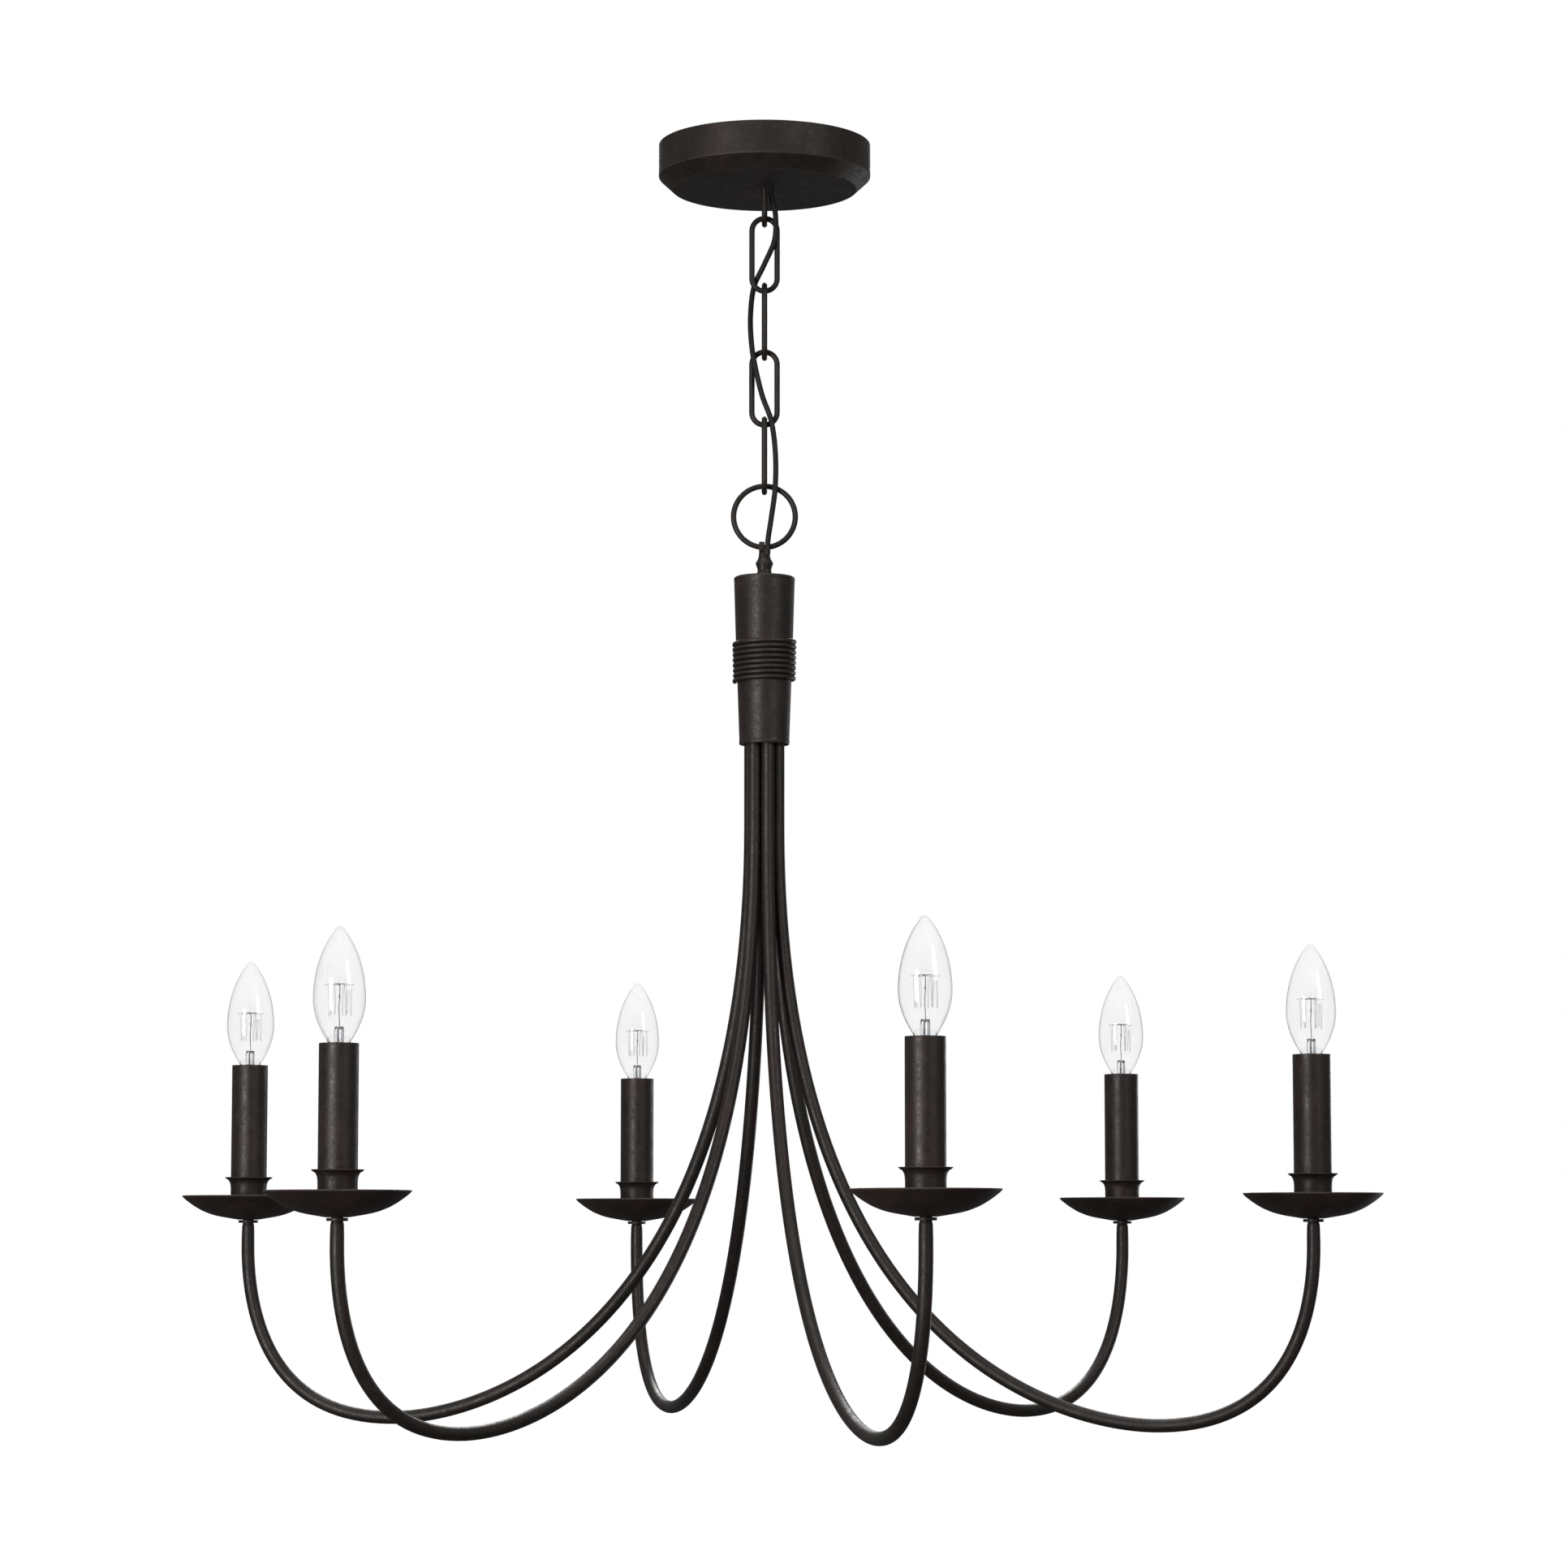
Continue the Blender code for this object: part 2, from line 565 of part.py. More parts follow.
def build():
    clear_scene()
    parts = new_collection("chandelier")
    cutters = new_collection("guides")
    make_canopy(parts, cutters)
    make_strap(parts, cutters)
    make_canopy_screws(parts)
    make_chain(parts)
    hang = pivot("fixture_pivot", (0, 0, RING_WIRE_BOTTOM), parts)
    make_finial(parts, cutters, hang)
    make_stem_body(parts, hang)
    make_wire_wrap(parts, hang)
    make_hub(parts, hang)
    make_arms(parts, cutters, hang)
    make_cord(parts)


build()
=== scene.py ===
"""Looks for the six-arm candle chandelier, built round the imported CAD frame.

Lengths are written in millimetres and turned into metres by MM. Every mesh holds its points in the row frame,
so a pattern in object coordinates runs on from piece to piece and no two pieces look the same.
"""
import math

import bpy
import numpy as np
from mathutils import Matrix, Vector


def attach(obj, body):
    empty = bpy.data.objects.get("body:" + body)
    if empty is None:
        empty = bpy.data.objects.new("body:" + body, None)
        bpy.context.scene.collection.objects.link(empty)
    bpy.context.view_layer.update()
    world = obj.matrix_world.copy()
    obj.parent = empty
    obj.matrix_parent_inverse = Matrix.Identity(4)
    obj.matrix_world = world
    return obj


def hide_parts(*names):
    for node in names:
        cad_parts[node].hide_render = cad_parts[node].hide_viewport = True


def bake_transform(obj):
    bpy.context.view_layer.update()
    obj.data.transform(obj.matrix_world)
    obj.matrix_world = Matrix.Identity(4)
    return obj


MM = 0.001
SHARP_ANGLE = 32.0

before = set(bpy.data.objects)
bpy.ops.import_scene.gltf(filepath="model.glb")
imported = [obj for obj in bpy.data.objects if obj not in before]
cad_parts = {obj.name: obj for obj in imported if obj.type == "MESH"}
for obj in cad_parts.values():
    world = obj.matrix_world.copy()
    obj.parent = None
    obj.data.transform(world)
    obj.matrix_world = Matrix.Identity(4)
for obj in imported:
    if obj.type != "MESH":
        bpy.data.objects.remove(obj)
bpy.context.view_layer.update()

# Camera
CAMERA_PLACE = (0.0130, -2.9204, -0.7273)
CAMERA_TILT = 95.818
CAMERA_LENS = 102.1

# Measures of the CAD model. Heights count from the ceiling, which is 0, and SLEEVE_TOP from the seat.
CANOPY_RADIUS = 70.8
CANOPY_BOTTOM = -30.3
SCREW_HEIGHT = -8.0
WIRE = 1.85
PLAY = 0.3
LOOP_TOP = -10.5
LOOP_LENGTH = 45.0
LINK_LENGTH = 53.0
LINK_WIDTH = 20.5
RING_WIDTH = 44.7
RING_REACH = 20.5
PIVOTS = [-53.65, -98.95, -144.25, -189.55, -234.85]
RING_PIVOT = -271.85
BODY_TOP = -291.9
BODY_BOTTOM = -403.7
WRAP_TOP = -335.4
ARM_COUNT = 6
FIRST_ARM = 15.25
ARM_REACH = 360.0
ARM_RADIUS = 4.35
SEAT_Z = -714.0
SLEEVE_TOP = 102.3

# One arm's curve as (distance out, height): at the hub's top, where it starts to bend, where it is lowest and
# where it is upright. Then the lengths of the curve's handles.
ARM_TOP = (9.3, -345.0)
ARM_LEAVE = (9.3, -458.0)
ARM_LOWEST = (258.0, -846.6)
ARM_RISE = (ARM_REACH, -731.5)
ARM_HANDLES = (329.0, 72.4, 88.8, 42.0)

# The supply cord's route from the ceiling to the finial, and where its lengths meet and bend
CORD_ROUTE = [(12.5, 13.5, -0.6), (10.0, 10.5, -14.0), (4.3, 0.5, -30.0), (7.3, -4.0, -48.0),
              (6.7, -4.0, -65.0), (0.0, 0.0, -80.5), (-7.0, 4.3, -95.0), (-9.3, 2.6, -114.0),
              (-8.9, -3.0, -132.0), (-6.9, -4.3, -147.5), (-1.5, -4.3, -170.5), (4.5, -4.3, -187.5),
              (7.3, -4.2, -210.0), (7.1, -4.2, -233.0), (4.6, -4.2, -252.5), (2.4, -4.2, -267.5),
              (2.1, -4.0, -274.8)]
CORD_RADIUS = 1.8
CORD_CUTS = [-76.3, -121.6, -166.9, -211.9, -243.4]
CORD_BENDS = [(-42.0, -68.0), (-86.0, -112.0), (-131.0, -157.0), (-177.0, -203.0), (-222.0, -241.0),
              (-259.0, -273.5)]

# How far each bulb is screwed in, in degrees, which turns its wires and filament
BULB_TURNS = [-7.0, 5.0, 9.0, -4.0, 7.0, 2.0]


# ---------------------------------------------------------------- meshes

def add_mesh(name, points, faces, surface, wear_and_sheen=None):
    """A mesh piece from points in millimetres, its faces turned outwards. Its per-point values mark where the
    paint is lighter: partly rubbing, partly a painted highlight on rounded edges.
    """
    points = np.array(points, float) * MM
    corners = [points[list(face)] for face in faces]
    volume = sum(np.dot(c[0], np.cross(c[k], c[k + 1])) for c in corners for k in range(1, len(c) - 1))
    if volume < 0:
        faces = [tuple(reversed(face)) for face in faces]
    mesh = bpy.data.meshes.new(name)
    mesh.from_pydata(points.tolist(), [], faces)
    mesh.materials.append(surface)
    rub_and_sheen = mesh.attributes.new("wear_and_sheen", "FLOAT", "POINT")
    rub_and_sheen.data.foreach_set("value", np.zeros(len(points), np.float32) if wear_and_sheen is None
                          else np.array(wear_and_sheen, np.float32))
    mesh.shade_smooth()
    mesh.set_sharp_from_angle(angle=math.radians(SHARP_ANGLE))
    made = bpy.data.objects.new(name, mesh)
    bpy.context.scene.collection.objects.link(made)
    return made


def rounded(corners, closed=False, steps=4, spread=1.3):
    """Round (radius, height, fillet) corners into (radius, height, wear) points.

    A positive fillet's rounding is painted lighter, partly as rubbing and partly as a painted edge highlight;
    a negative fillet makes a rounding that is not lightened.
    """
    outline = []
    count = len(corners)
    for index, (radius, height, fillet) in enumerate(corners):
        if not fillet or (not closed and index in (0, count - 1)):
            outline.append((radius, height, 0.0))
            continue
        here = Vector((radius, height))
        back = Vector(corners[index - 1][:2]) - here
        ahead = Vector(corners[(index + 1) % count][:2]) - here
        cut = abs(fillet) / math.tan(back.angle(ahead) / 2)
        cut = min(cut, 0.42 * back.length, 0.42 * ahead.length)
        # Positive fillets are painted lighter: partly rubbing, partly a painted highlight along the edge.
        rub_and_sheen = 1.0 if fillet > 0 else 0.0
        if back.length > 2.5 * (cut + spread):
            outline.append((*(here + back.normalized() * (cut + spread)), 0.0))
        start = here + back.normalized() * cut
        end = here + ahead.normalized() * cut
        for step in range(steps + 1):
            t = step / steps
            point = (1 - t)**2 * start + 2 * t * (1 - t) * here + t**2 * end
            outline.append((*point, rub_and_sheen * (0.55 + 1.8 * t * (1 - t))))
        if ahead.length > 2.5 * (cut + spread):
            outline.append((*(here + ahead.normalized() * (cut + spread)), 0.0))
    return outline


def turned(name, outline, sides, surface, centre=(0, 0, 0), closed=False, thread=None, axis="Z"):
    """Turn (radius, height, wear) points about an axis. An open outline starts and ends on the axis."""
    points, wear_and_sheen, rings = [], [], []
    for radius, height, rub_and_sheen in outline:
        first = len(points)
        if radius < 1e-6:
            points.append((0.0, 0.0, height))
            wear_and_sheen.append(rub_and_sheen)
            rings.append([first] * sides)
            continue
        for side in range(sides):
            angle = 2 * math.pi * side / sides
            reach = radius + (thread(angle, height) if thread else 0.0)
            points.append((reach * math.cos(angle), reach * math.sin(angle), height))
            wear_and_sheen.append(rub_and_sheen)
        rings.append(list(range(first, first + sides)))
    faces = []
    pairs = list(zip(rings, rings[1:])) + ([(rings[-1], rings[0])] if closed else [])
    for upper, lower in pairs:
        for side in range(sides):
            after = (side + 1) % sides
            face = [upper[side], lower[side], lower[after], upper[after]]
            face = [v for k, v in enumerate(face) if v != face[k - 1]]
            if len(face) > 2:
                faces.append(tuple(face))
    if axis == "X":
        points = [(z, x, y) for x, y, z in points]
    if axis == "-X":
        points = [(-z, y, x) for x, y, z in points]
    return add_mesh(name, np.array(points) + np.array(centre, float), faces, surface, wear_and_sheen)


def curve_through(points, steps):
    """Points along a Catmull-Rom curve, steps to each span."""
    knots = [Vector(point) for point in points]
    knots = [2 * knots[0] - knots[1]] + knots + [2 * knots[-1] - knots[-2]]
    route = []
    for before, start, end, after in zip(knots, knots[1:], knots[2:], knots[3:]):
        length = (end - start).length
        leave = (end - before) * (length / ((start - before).length + length))
        arrive = (after - start) * (length / ((after - end).length + length))
        for step in range(steps):
            t = step / steps
            route.append((2 * t**3 - 3 * t**2 + 1) * start + (t**3 - 2 * t**2 + t) * leave
                         + (3 * t**2 - 2 * t**3) * end + (t**3 - t**2) * arrive)
    return route + [knots[-2]]


def bezier(start, leave, arrive, end, steps):
    """Points (x, y) along a cubic curve, without its last one."""
    return [tuple((1 - t)**3 * a + 3 * t * (1 - t)**2 * b + 3 * t**2 * (1 - t) * c + t**3 * d
                  for a, b, c, d in zip(start, leave, arrive, end))
            for t in (k / steps for k in range(steps))]


def swept(name, path, radius, sides, surface, closed=False, normal=None, wear_and_sheen=None, chamfer=0.0):
    """A round wire along a path. radius is a number or a list, normal is a flat path's own normal.

    A given function says how much lighter each point is painted, from the wire's middle and the way out, and
    chamfer bevels both ends.
    """
    path = [Vector(point) for point in path]
    count = len(path)
    radii = list(radius) if isinstance(radius, (list, tuple)) else [radius] * count
    if closed:
        tangents = [(path[(k + 1) % count] - path[k - 1]).normalized() for k in range(count)]
    else:
        tangents = [(path[min(k + 1, count - 1)] - path[max(k - 1, 0)]).normalized() for k in range(count)]
    if chamfer:
        for end in (0, -1):
            out = tangents[end] * (-1 if end == 0 else 1)
            tip = path[end] + out * chamfer
            path.insert(0 if end == 0 else len(path), tip)
            tangents.insert(0 if end == 0 else len(tangents), tangents[end])
            radii.insert(0 if end == 0 else len(radii), radii[end] - chamfer)
        count = len(path)
    side_way = Vector(normal) if normal else tangents[0].orthogonal().normalized()
    points, rub_and_sheen, rings = [], [], []
    for index, (centre, along) in enumerate(zip(path, tangents)):
        side_way = (side_way - along * side_way.dot(along)).normalized()
        other = along.cross(side_way)
        rings.append(list(range(len(points), len(points) + sides)))
        for side in range(sides):
            angle = 2 * math.pi * side / sides
            out = side_way * math.cos(angle) + other * math.sin(angle)
            points.append(tuple(centre + out * radii[index]))
            rub_and_sheen.append(wear_and_sheen(centre, out) if wear_and_sheen else 0.0)
    faces = []
    for a, b in list(zip(rings, rings[1:])) + ([(rings[-1], rings[0])] if closed else []):
        for side in range(sides):
            after = (side + 1) % sides
            faces.append((a[side], a[after], b[after], b[side]))
    if not closed:
        faces.append(tuple(reversed(rings[0])))
        faces.append(tuple(rings[-1]))
    return add_mesh(name, points, faces, surface, rub_and_sheen)


def carve(piece, cutter):
    """Cut a mesh out of a piece for good and remove the cutter."""
    cut = piece.modifiers.new("Cut", "BOOLEAN")
    cut.operation = "DIFFERENCE"
    cut.object = cutter
    cut.solver = "EXACT"
    bpy.context.view_layer.update()
    graph = bpy.context.evaluated_depsgraph_get()
    mesh = bpy.data.meshes.new_from_object(piece.evaluated_get(graph))
    piece.modifiers.clear()
    piece.data = mesh
    mesh.shade_smooth()
    mesh.set_sharp_from_angle(angle=math.radians(SHARP_ANGLE))
    bpy.data.objects.remove(cutter, do_unlink=True)


def prism(name, outline, low, high, surface):
    """An upright solid over a flat (x, y) outline, between two heights."""
    count = len(outline)
    points = [(x, y, low) for x, y in outline] + [(x, y, high) for x, y in outline]
    faces = [tuple(reversed(range(count))), tuple(range(count, 2 * count))]
    faces += [(k, (k + 1) % count, count + (k + 1) % count, count + k) for k in range(count)]
    return add_mesh(name, points, faces, surface)


def drill(piece, side, inner_end, surface):
    """A sideways screw hole through a piece, from inner_end out to the open air."""
    radius, outer_end = 1.9, 80.0
    near, far = side * inner_end, side * outer_end
    outline = [(0.0, near, 0.0), (radius, near, 0.0), (radius, far, 0.0), (0.0, far, 0.0)]
    carve(piece, turned("hole_cutter", outline, 20, surface, (0, 0, SCREW_HEIGHT), axis="X"))


def inset(line, distance):
    """A line of (x, y) points moved inwards, square to itself."""
    moved = []
    for index, (x, y) in enumerate(line):
        before, after = line[max(index - 1, 0)], line[min(index + 1, len(line) - 1)]
        along = Vector((after[0] - before[0], after[1] - before[1])).normalized()
        moved.append((x + along.y * distance, y - along.x * distance))
    return moved


def join(pieces):
    """Several mesh pieces as one, under the first one's name."""
    with bpy.context.temp_override(active_object=pieces[0], selected_editable_objects=pieces):
        bpy.ops.object.join()
    return pieces[0]


def finish_piece(piece, body, node=None):
    """Ride on a body and stand for a CAD node."""
    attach(piece, body)
    if node:
        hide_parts(node)
    return piece


# ---------------------------------------------------------------- materials

class Nodes:
    """Short names for making one material's node tree."""

    def __init__(self, name):
        self.material = bpy.data.materials.new(name)
        self.material.use_nodes = True
        self.tree = self.material.node_tree
        self.shader = self.tree.nodes["Principled BSDF"]
        self.place = self.add("ShaderNodeTexCoord").outputs["Object"]

    def add(self, kind, **settings):
        node = self.tree.nodes.new(kind)
        for key, value in settings.items():
            setattr(node, key, value)
        return node

    def feed(self, socket, value):
        if isinstance(value, bpy.types.NodeSocket):
            self.tree.links.new(value, socket)
        else:
            socket.default_value = value

    def noise(self, scale, detail=3.0, rough=0.55, distortion=0.0, stretch=None):
        place = self.place
        if stretch:
            mapping = self.add("ShaderNodeMapping")
            self.feed(mapping.inputs["Vector"], place)
            mapping.inputs["Scale"].default_value = stretch
            place = mapping.outputs["Vector"]
        node = self.add("ShaderNodeTexNoise")
        self.feed(node.inputs["Vector"], place)
        for key, value in (("Scale", scale), ("Detail", detail), ("Roughness", rough),
                           ("Distortion", distortion)):
            node.inputs[key].default_value = value
        return node.outputs["Fac"]

    def cells(self, scale):
        node = self.add("ShaderNodeTexVoronoi", feature="F1")
        self.feed(node.inputs["Vector"], self.place)
        node.inputs["Scale"].default_value = scale
        return node.outputs

    def band(self, value, low, high, out_low=0.0, out_high=1.0):
        node = self.add("ShaderNodeMapRange", clamp=True)
        for key, given in (("Value", value), ("From Min", low), ("From Max", high), ("To Min", out_low),
                           ("To Max", out_high)):
            self.feed(node.inputs[key], given)
        return node.outputs["Result"]

    def maths(self, operation, first, second):
        node = self.add("ShaderNodeMath", operation=operation)
        self.feed(node.inputs[0], first)
        self.feed(node.inputs[1], second)
        return node.outputs[0]

    def mix(self, factor, first, second, blend="MIX"):
        node = self.add("ShaderNodeMix", data_type="RGBA", blend_type=blend)
        self.feed(node.inputs[0], factor)
        self.feed(node.inputs[6], first if isinstance(first, bpy.types.NodeSocket) else (*first, 1.0))
        self.feed(node.inputs[7], second if isinstance(second, bpy.types.NodeSocket) else (*second, 1.0))
        return node.outputs[2]

    def grey(self, value):
        node = self.add("ShaderNodeCombineColor")
        for socket in node.inputs[:3]:
            self.feed(socket, value)
        return node.outputs[0]

    def wear_and_sheen(self):
        return self.add("ShaderNodeAttribute", attribute_name="wear_and_sheen").outputs["Fac"]

    def bump(self, height, strength, distance, onto=None):
        node = self.add("ShaderNodeBump")
        self.feed(node.inputs["Height"], height)
        node.inputs["Strength"].default_value = strength
        node.inputs["Distance"].default_value = distance
        if onto:
            self.feed(node.inputs["Normal"], onto)
        return node.outputs["Normal"]

    def set(self, **values):
        for key, value in values.items():
            self.feed(self.shader.inputs[key.replace("_", " ")], value)
        return self.material


def bronze(name, shade=0.95, rust=0.35, rough=0.52, grain=1.0, rub_and_sheen=0.5, warmth=0.0):
    """Oil-rubbed bronze paint: near black with rust-brown clouds, a fine grain, and rounded edges painted
    lighter, partly as rubbing and partly as a painted edge highlight.
    """
    n = Nodes(name)
    dark = [shade * (v + change * warmth)
            for v, change in ((0.0150, 0.003), (0.0116, -0.0014), (0.0102, -0.002))]
    warm = [shade * v for v in (0.0390, 0.0220, 0.0160)]
    pale = [shade * v for v in (0.0400, 0.0350, 0.0320)]
    clouds = n.band(n.noise(38.0, 4.0, 0.62, 0.6), 0.43, 0.68)
    flecks = n.band(n.noise(210.0, 3.0, 0.6, 0.3), 0.5, 0.72)
    colour = n.mix(n.maths("MULTIPLY", clouds, rust), dark, warm)
    colour = n.mix(n.maths("MULTIPLY", flecks, 0.4), colour, pale)
    speckle = 0.26 * grain
    fine = n.band(n.noise(1150.0, 2.0, 0.7), 0.25, 0.75, 1.0 - speckle, 1.0 + speckle)
    colour = n.mix(1.0, colour, n.grey(fine), "MULTIPLY")
    tinge = n.band(n.noise(26.0, 3.0, 0.6, 0.4), 0.36, 0.64)
    colour = n.mix(1.0, colour, n.mix(tinge, (0.93, 1.03, 0.88), (1.16, 0.96, 1.02)), "MULTIPLY")
    # Lighter paint on rounded edges and rubbed spots: partly rubbing, partly a painted edge highlight.
    rub_and_sheen_mask = n.band(n.maths("ADD", n.wear_and_sheen(), n.maths("MULTIPLY", n.noise(330.0, 4.0, 0.7), 1.1)), 1.12, 1.6)
    colour = n.mix(n.maths("MULTIPLY", rub_and_sheen_mask, rub_and_sheen), colour, (0.085, 0.064, 0.050))
    gloss = n.band(n.noise(95.0, 4.0, 0.6), 0.3, 0.7, rough - 0.07, rough + 0.07)
    gloss = n.maths("ADD", gloss, n.band(n.noise(520.0, 3.0, 0.7), 0.3, 0.7, -0.13, 0.1))
    soft = n.bump(n.noise(70.0, 3.0, 0.5), 0.1, 0.0003)
    normal = n.bump(n.noise(900.0, 3.0, 0.6), 0.07 * grain, 0.00015, soft)
    return n.set(Base_Color=colour, Roughness=gloss, Metallic=0.2, Specular_IOR_Level=0.38, Normal=normal)


def zinc():
    """Plated sheet steel with faint spangle and rubbed patches."""
    n = Nodes("strap_plate")
    spangle = n.band(n.cells(260.0)["Color"], 0.0, 1.0, 0.82, 1.08)
    colour = n.mix(1.0, (0.36, 0.36, 0.345), n.grey(spangle), "MULTIPLY")
    colour = n.mix(n.band(n.noise(90.0, 4.0, 0.7), 0.55, 0.75, 0.0, 0.6), colour, (0.17, 0.16, 0.145))
    rough = n.band(n.noise(160.0), 0.3, 0.7, 0.48, 0.66)
    return n.set(Base_Color=colour, Roughness=rough, Metallic=0.75,
                 Normal=n.bump(n.noise(1400.0, 2.0), 0.12, 0.0001))


def steel(name, colour, rough, stain=0.4):
    """Bare or plated metal with stains and fine scratches."""
    n = Nodes(name)
    shadow = [0.35 * v for v in colour]
    tone = n.mix(n.band(n.noise(140.0, 5.0, 0.7), 0.48, 0.8, 0.0, stain), colour, shadow)
    gloss = n.band(n.noise(600.0, 3.0), 0.3, 0.7, rough - 0.06, rough + 0.1)
    return n.set(Base_Color=tone, Roughness=gloss, Metallic=0.95,
                 Normal=n.bump(n.noise(1500.0, 2.0), 0.1, 0.00008))


def plastic(name, colour, rough, grain=900.0, shine=0.4):
    """Moulded plastic or rubber jacket with a fine leathery grain and scuffs."""
    n = Nodes(name)
    scuff = n.band(n.noise(300.0, 5.0, 0.7), 0.58, 0.78, 0.0, 0.45)
    tone = n.mix(scuff, colour, [1.9 * v for v in colour])
    gloss = n.band(n.noise(220.0, 4.0), 0.3, 0.7, rough - 0.08, rough + 0.12)
    return n.set(Base_Color=tone, Roughness=gloss, Specular_IOR_Level=shine,
                 Normal=n.bump(n.noise(grain, 3.0), 0.2, 0.00012))


def clear_glass(name, tint=(0.965, 0.968, 0.97), edge=(0.14, 0.145, 0.15), wave=0.012):
    """Blown glass: clear, faintly wavy, with a painted dark outline where it is seen edge on, and lamps shine
    through it.
    """
    n = Nodes(name)
    turn = n.add("ShaderNodeLayerWeight")
    turn.inputs["Blend"].default_value = 0.5
    # Painted shade: the colour turns to the dark edge colour where the glass is seen edge on, a painted
    # outline standing in for refraction.
    painted_outline_shade = n.band(turn.outputs["Facing"], 0.66, 0.93)
    film = n.band(n.noise(120.0, 3.0), 0.3, 0.7, 0.985, 1.0)
    colour = n.mix(1.0, n.mix(n.maths("MULTIPLY", painted_outline_shade, painted_outline_shade), tint, edge), n.grey(film), "MULTIPLY")
    n.set(Base_Color=colour, Transmission_Weight=1.0, IOR=1.45, Roughness=0.015,
          Specular_IOR_Level=0.3, Normal=n.bump(n.noise(55.0, 2.0), wave, 0.0005))
    clear = n.add("ShaderNodeBsdfTransparent")
    either = n.add("ShaderNodeMixShader")
    n.feed(either.inputs[0], n.add("ShaderNodeLightPath").outputs["Is Shadow Ray"])
    n.feed(either.inputs[1], n.shader.outputs[0])
    n.feed(either.inputs[2], clear.outputs[0])
    n.feed(n.tree.nodes["Material Output"].inputs["Surface"], either.outputs[0])
    return n.material


# ---------------------------------------------------------------- camera and light

def make_camera():
    data = bpy.data.cameras.new("camera")
    data.sensor_width = 36.0
    data.lens = CAMERA_LENS
    data.clip_start = 0.05
    data.clip_end = 200.0
    camera = bpy.data.objects.new("camera", data)
    bpy.context.scene.collection.objects.link(camera)
    camera.location = CAMERA_PLACE
    camera.rotation_euler = (math.radians(CAMERA_TILT), 0.0, 0.0)
    bpy.context.scene.camera = camera


def soft_box(name, place, target_height, width, height, power):
    """A large rectangular lamp that faces the middle of the object and isn't seen itself."""
    data = bpy.data.lights.new(name, "AREA")
    data.shape = "RECTANGLE"
    data.size = width
    data.size_y = height
    data.energy = power
    lamp = bpy.data.objects.new(name, data)
    bpy.context.scene.collection.objects.link(lamp)
    lamp.location = place
    target = Vector((0.0, 0.0, target_height))
    lamp.rotation_euler = (target - Vector(place)).to_track_quat("-Z", "Y").to_euler()
    lamp.visible_camera = False
    lamp.visible_transmission = False
    return lamp


def make_studio():
    """White surroundings, dimmer as light than as background, five lamps and a pale floor far below.

    Gives the lamps that would wash out the dark outline of clear glass.
    """
    world = bpy.data.worlds.new("studio")
    bpy.context.scene.world = world
    world.use_nodes = True
    tree = world.node_tree
    backdrop = tree.nodes["Background"]
    backdrop.inputs["Color"].default_value = (1.0, 1.0, 1.0, 1.0)
    path = tree.nodes.new("ShaderNodeLightPath")
    seen = tree.nodes.new("ShaderNodeMath")
    seen.operation = "MAXIMUM"
    tree.links.new(path.outputs["Is Camera Ray"], seen.inputs[0])
    tree.links.new(path.outputs["Is Transmission Ray"], seen.inputs[1])
    place = tree.nodes.new("ShaderNodeTexCoord")
    parts = tree.nodes.new("ShaderNodeSeparateXYZ")
    tree.links.new(place.outputs["Generated"], parts.inputs[0])
    sky = tree.nodes.new("ShaderNodeMapRange")
    tree.links.new(parts.outputs["Z"], sky.inputs["Value"])
    for key, value in (("From Min", -0.5), ("From Max", 0.9), ("To Min", 0.085), ("To Max", 0.34)):
        sky.inputs[key].default_value = value
    level = tree.nodes.new("ShaderNodeMapRange")
    tree.links.new(seen.outputs[0], level.inputs["Value"])
    tree.links.new(sky.outputs["Result"], level.inputs["To Min"])
    level.inputs["To Max"].default_value = 1.0
    tree.links.new(level.outputs["Result"], backdrop.inputs["Strength"])
    soft_box("key", (-1.6, -2.4, -0.6), -0.6, 0.75, 1.9, 63.0)
    soft_box("fill", (1.9, -2.1, 0.6), -0.55, 1.0, 1.5, 24.0)
    top = soft_box("top", (-0.2, -0.3, 2.0), -0.55, 1.8, 1.8, 30.0)
    rim = soft_box("rim", (1.5, 2.0, -0.8), -0.6, 0.5, 1.2, 8.0)
    back = soft_box("back", (0.0, 2.5, 1.1), -0.55, 1.6, 1.2, 70.0)
    n = Nodes("floor_paint")
    tone = n.mix(n.band(n.noise(3.0, 4.0), 0.3, 0.7, 0.0, 0.3), (0.92, 0.92, 0.92), (0.88, 0.88, 0.88))
    n.set(Base_Color=tone, Roughness=0.85, Emission_Color=(1.0, 1.0, 1.0, 1.0), Emission_Strength=0.75)
    floor_radius, floor_height = 60.0, -2.3
    bpy.ops.mesh.primitive_circle_add(vertices=96, radius=floor_radius, fill_type="NGON",
                                      location=(0, 0, floor_height))
    floor = bpy.context.object
    floor.name = "floor"
    floor.data.materials.append(n.material)
    floor.visible_diffuse = False
    floor.visible_glossy = False
    floor.visible_shadow = False
    bpy.context.scene.view_settings.view_transform = "Standard"
    return top, rim, back


def keep_off(lamps, pieces):
    """These lamps don't light these pieces, so that clear glass keeps a dark outline."""
    unlit = bpy.data.collections.new("unlit_glass")
    for piece in pieces:
        unlit.objects.link(piece)
    for item in unlit.collection_objects:
        item.light_linking.link_state = "EXCLUDE"
    for lamp in lamps:
        lamp.light_linking.receiver_collection = unlit


# ---------------------------------------------------------------- supply cord

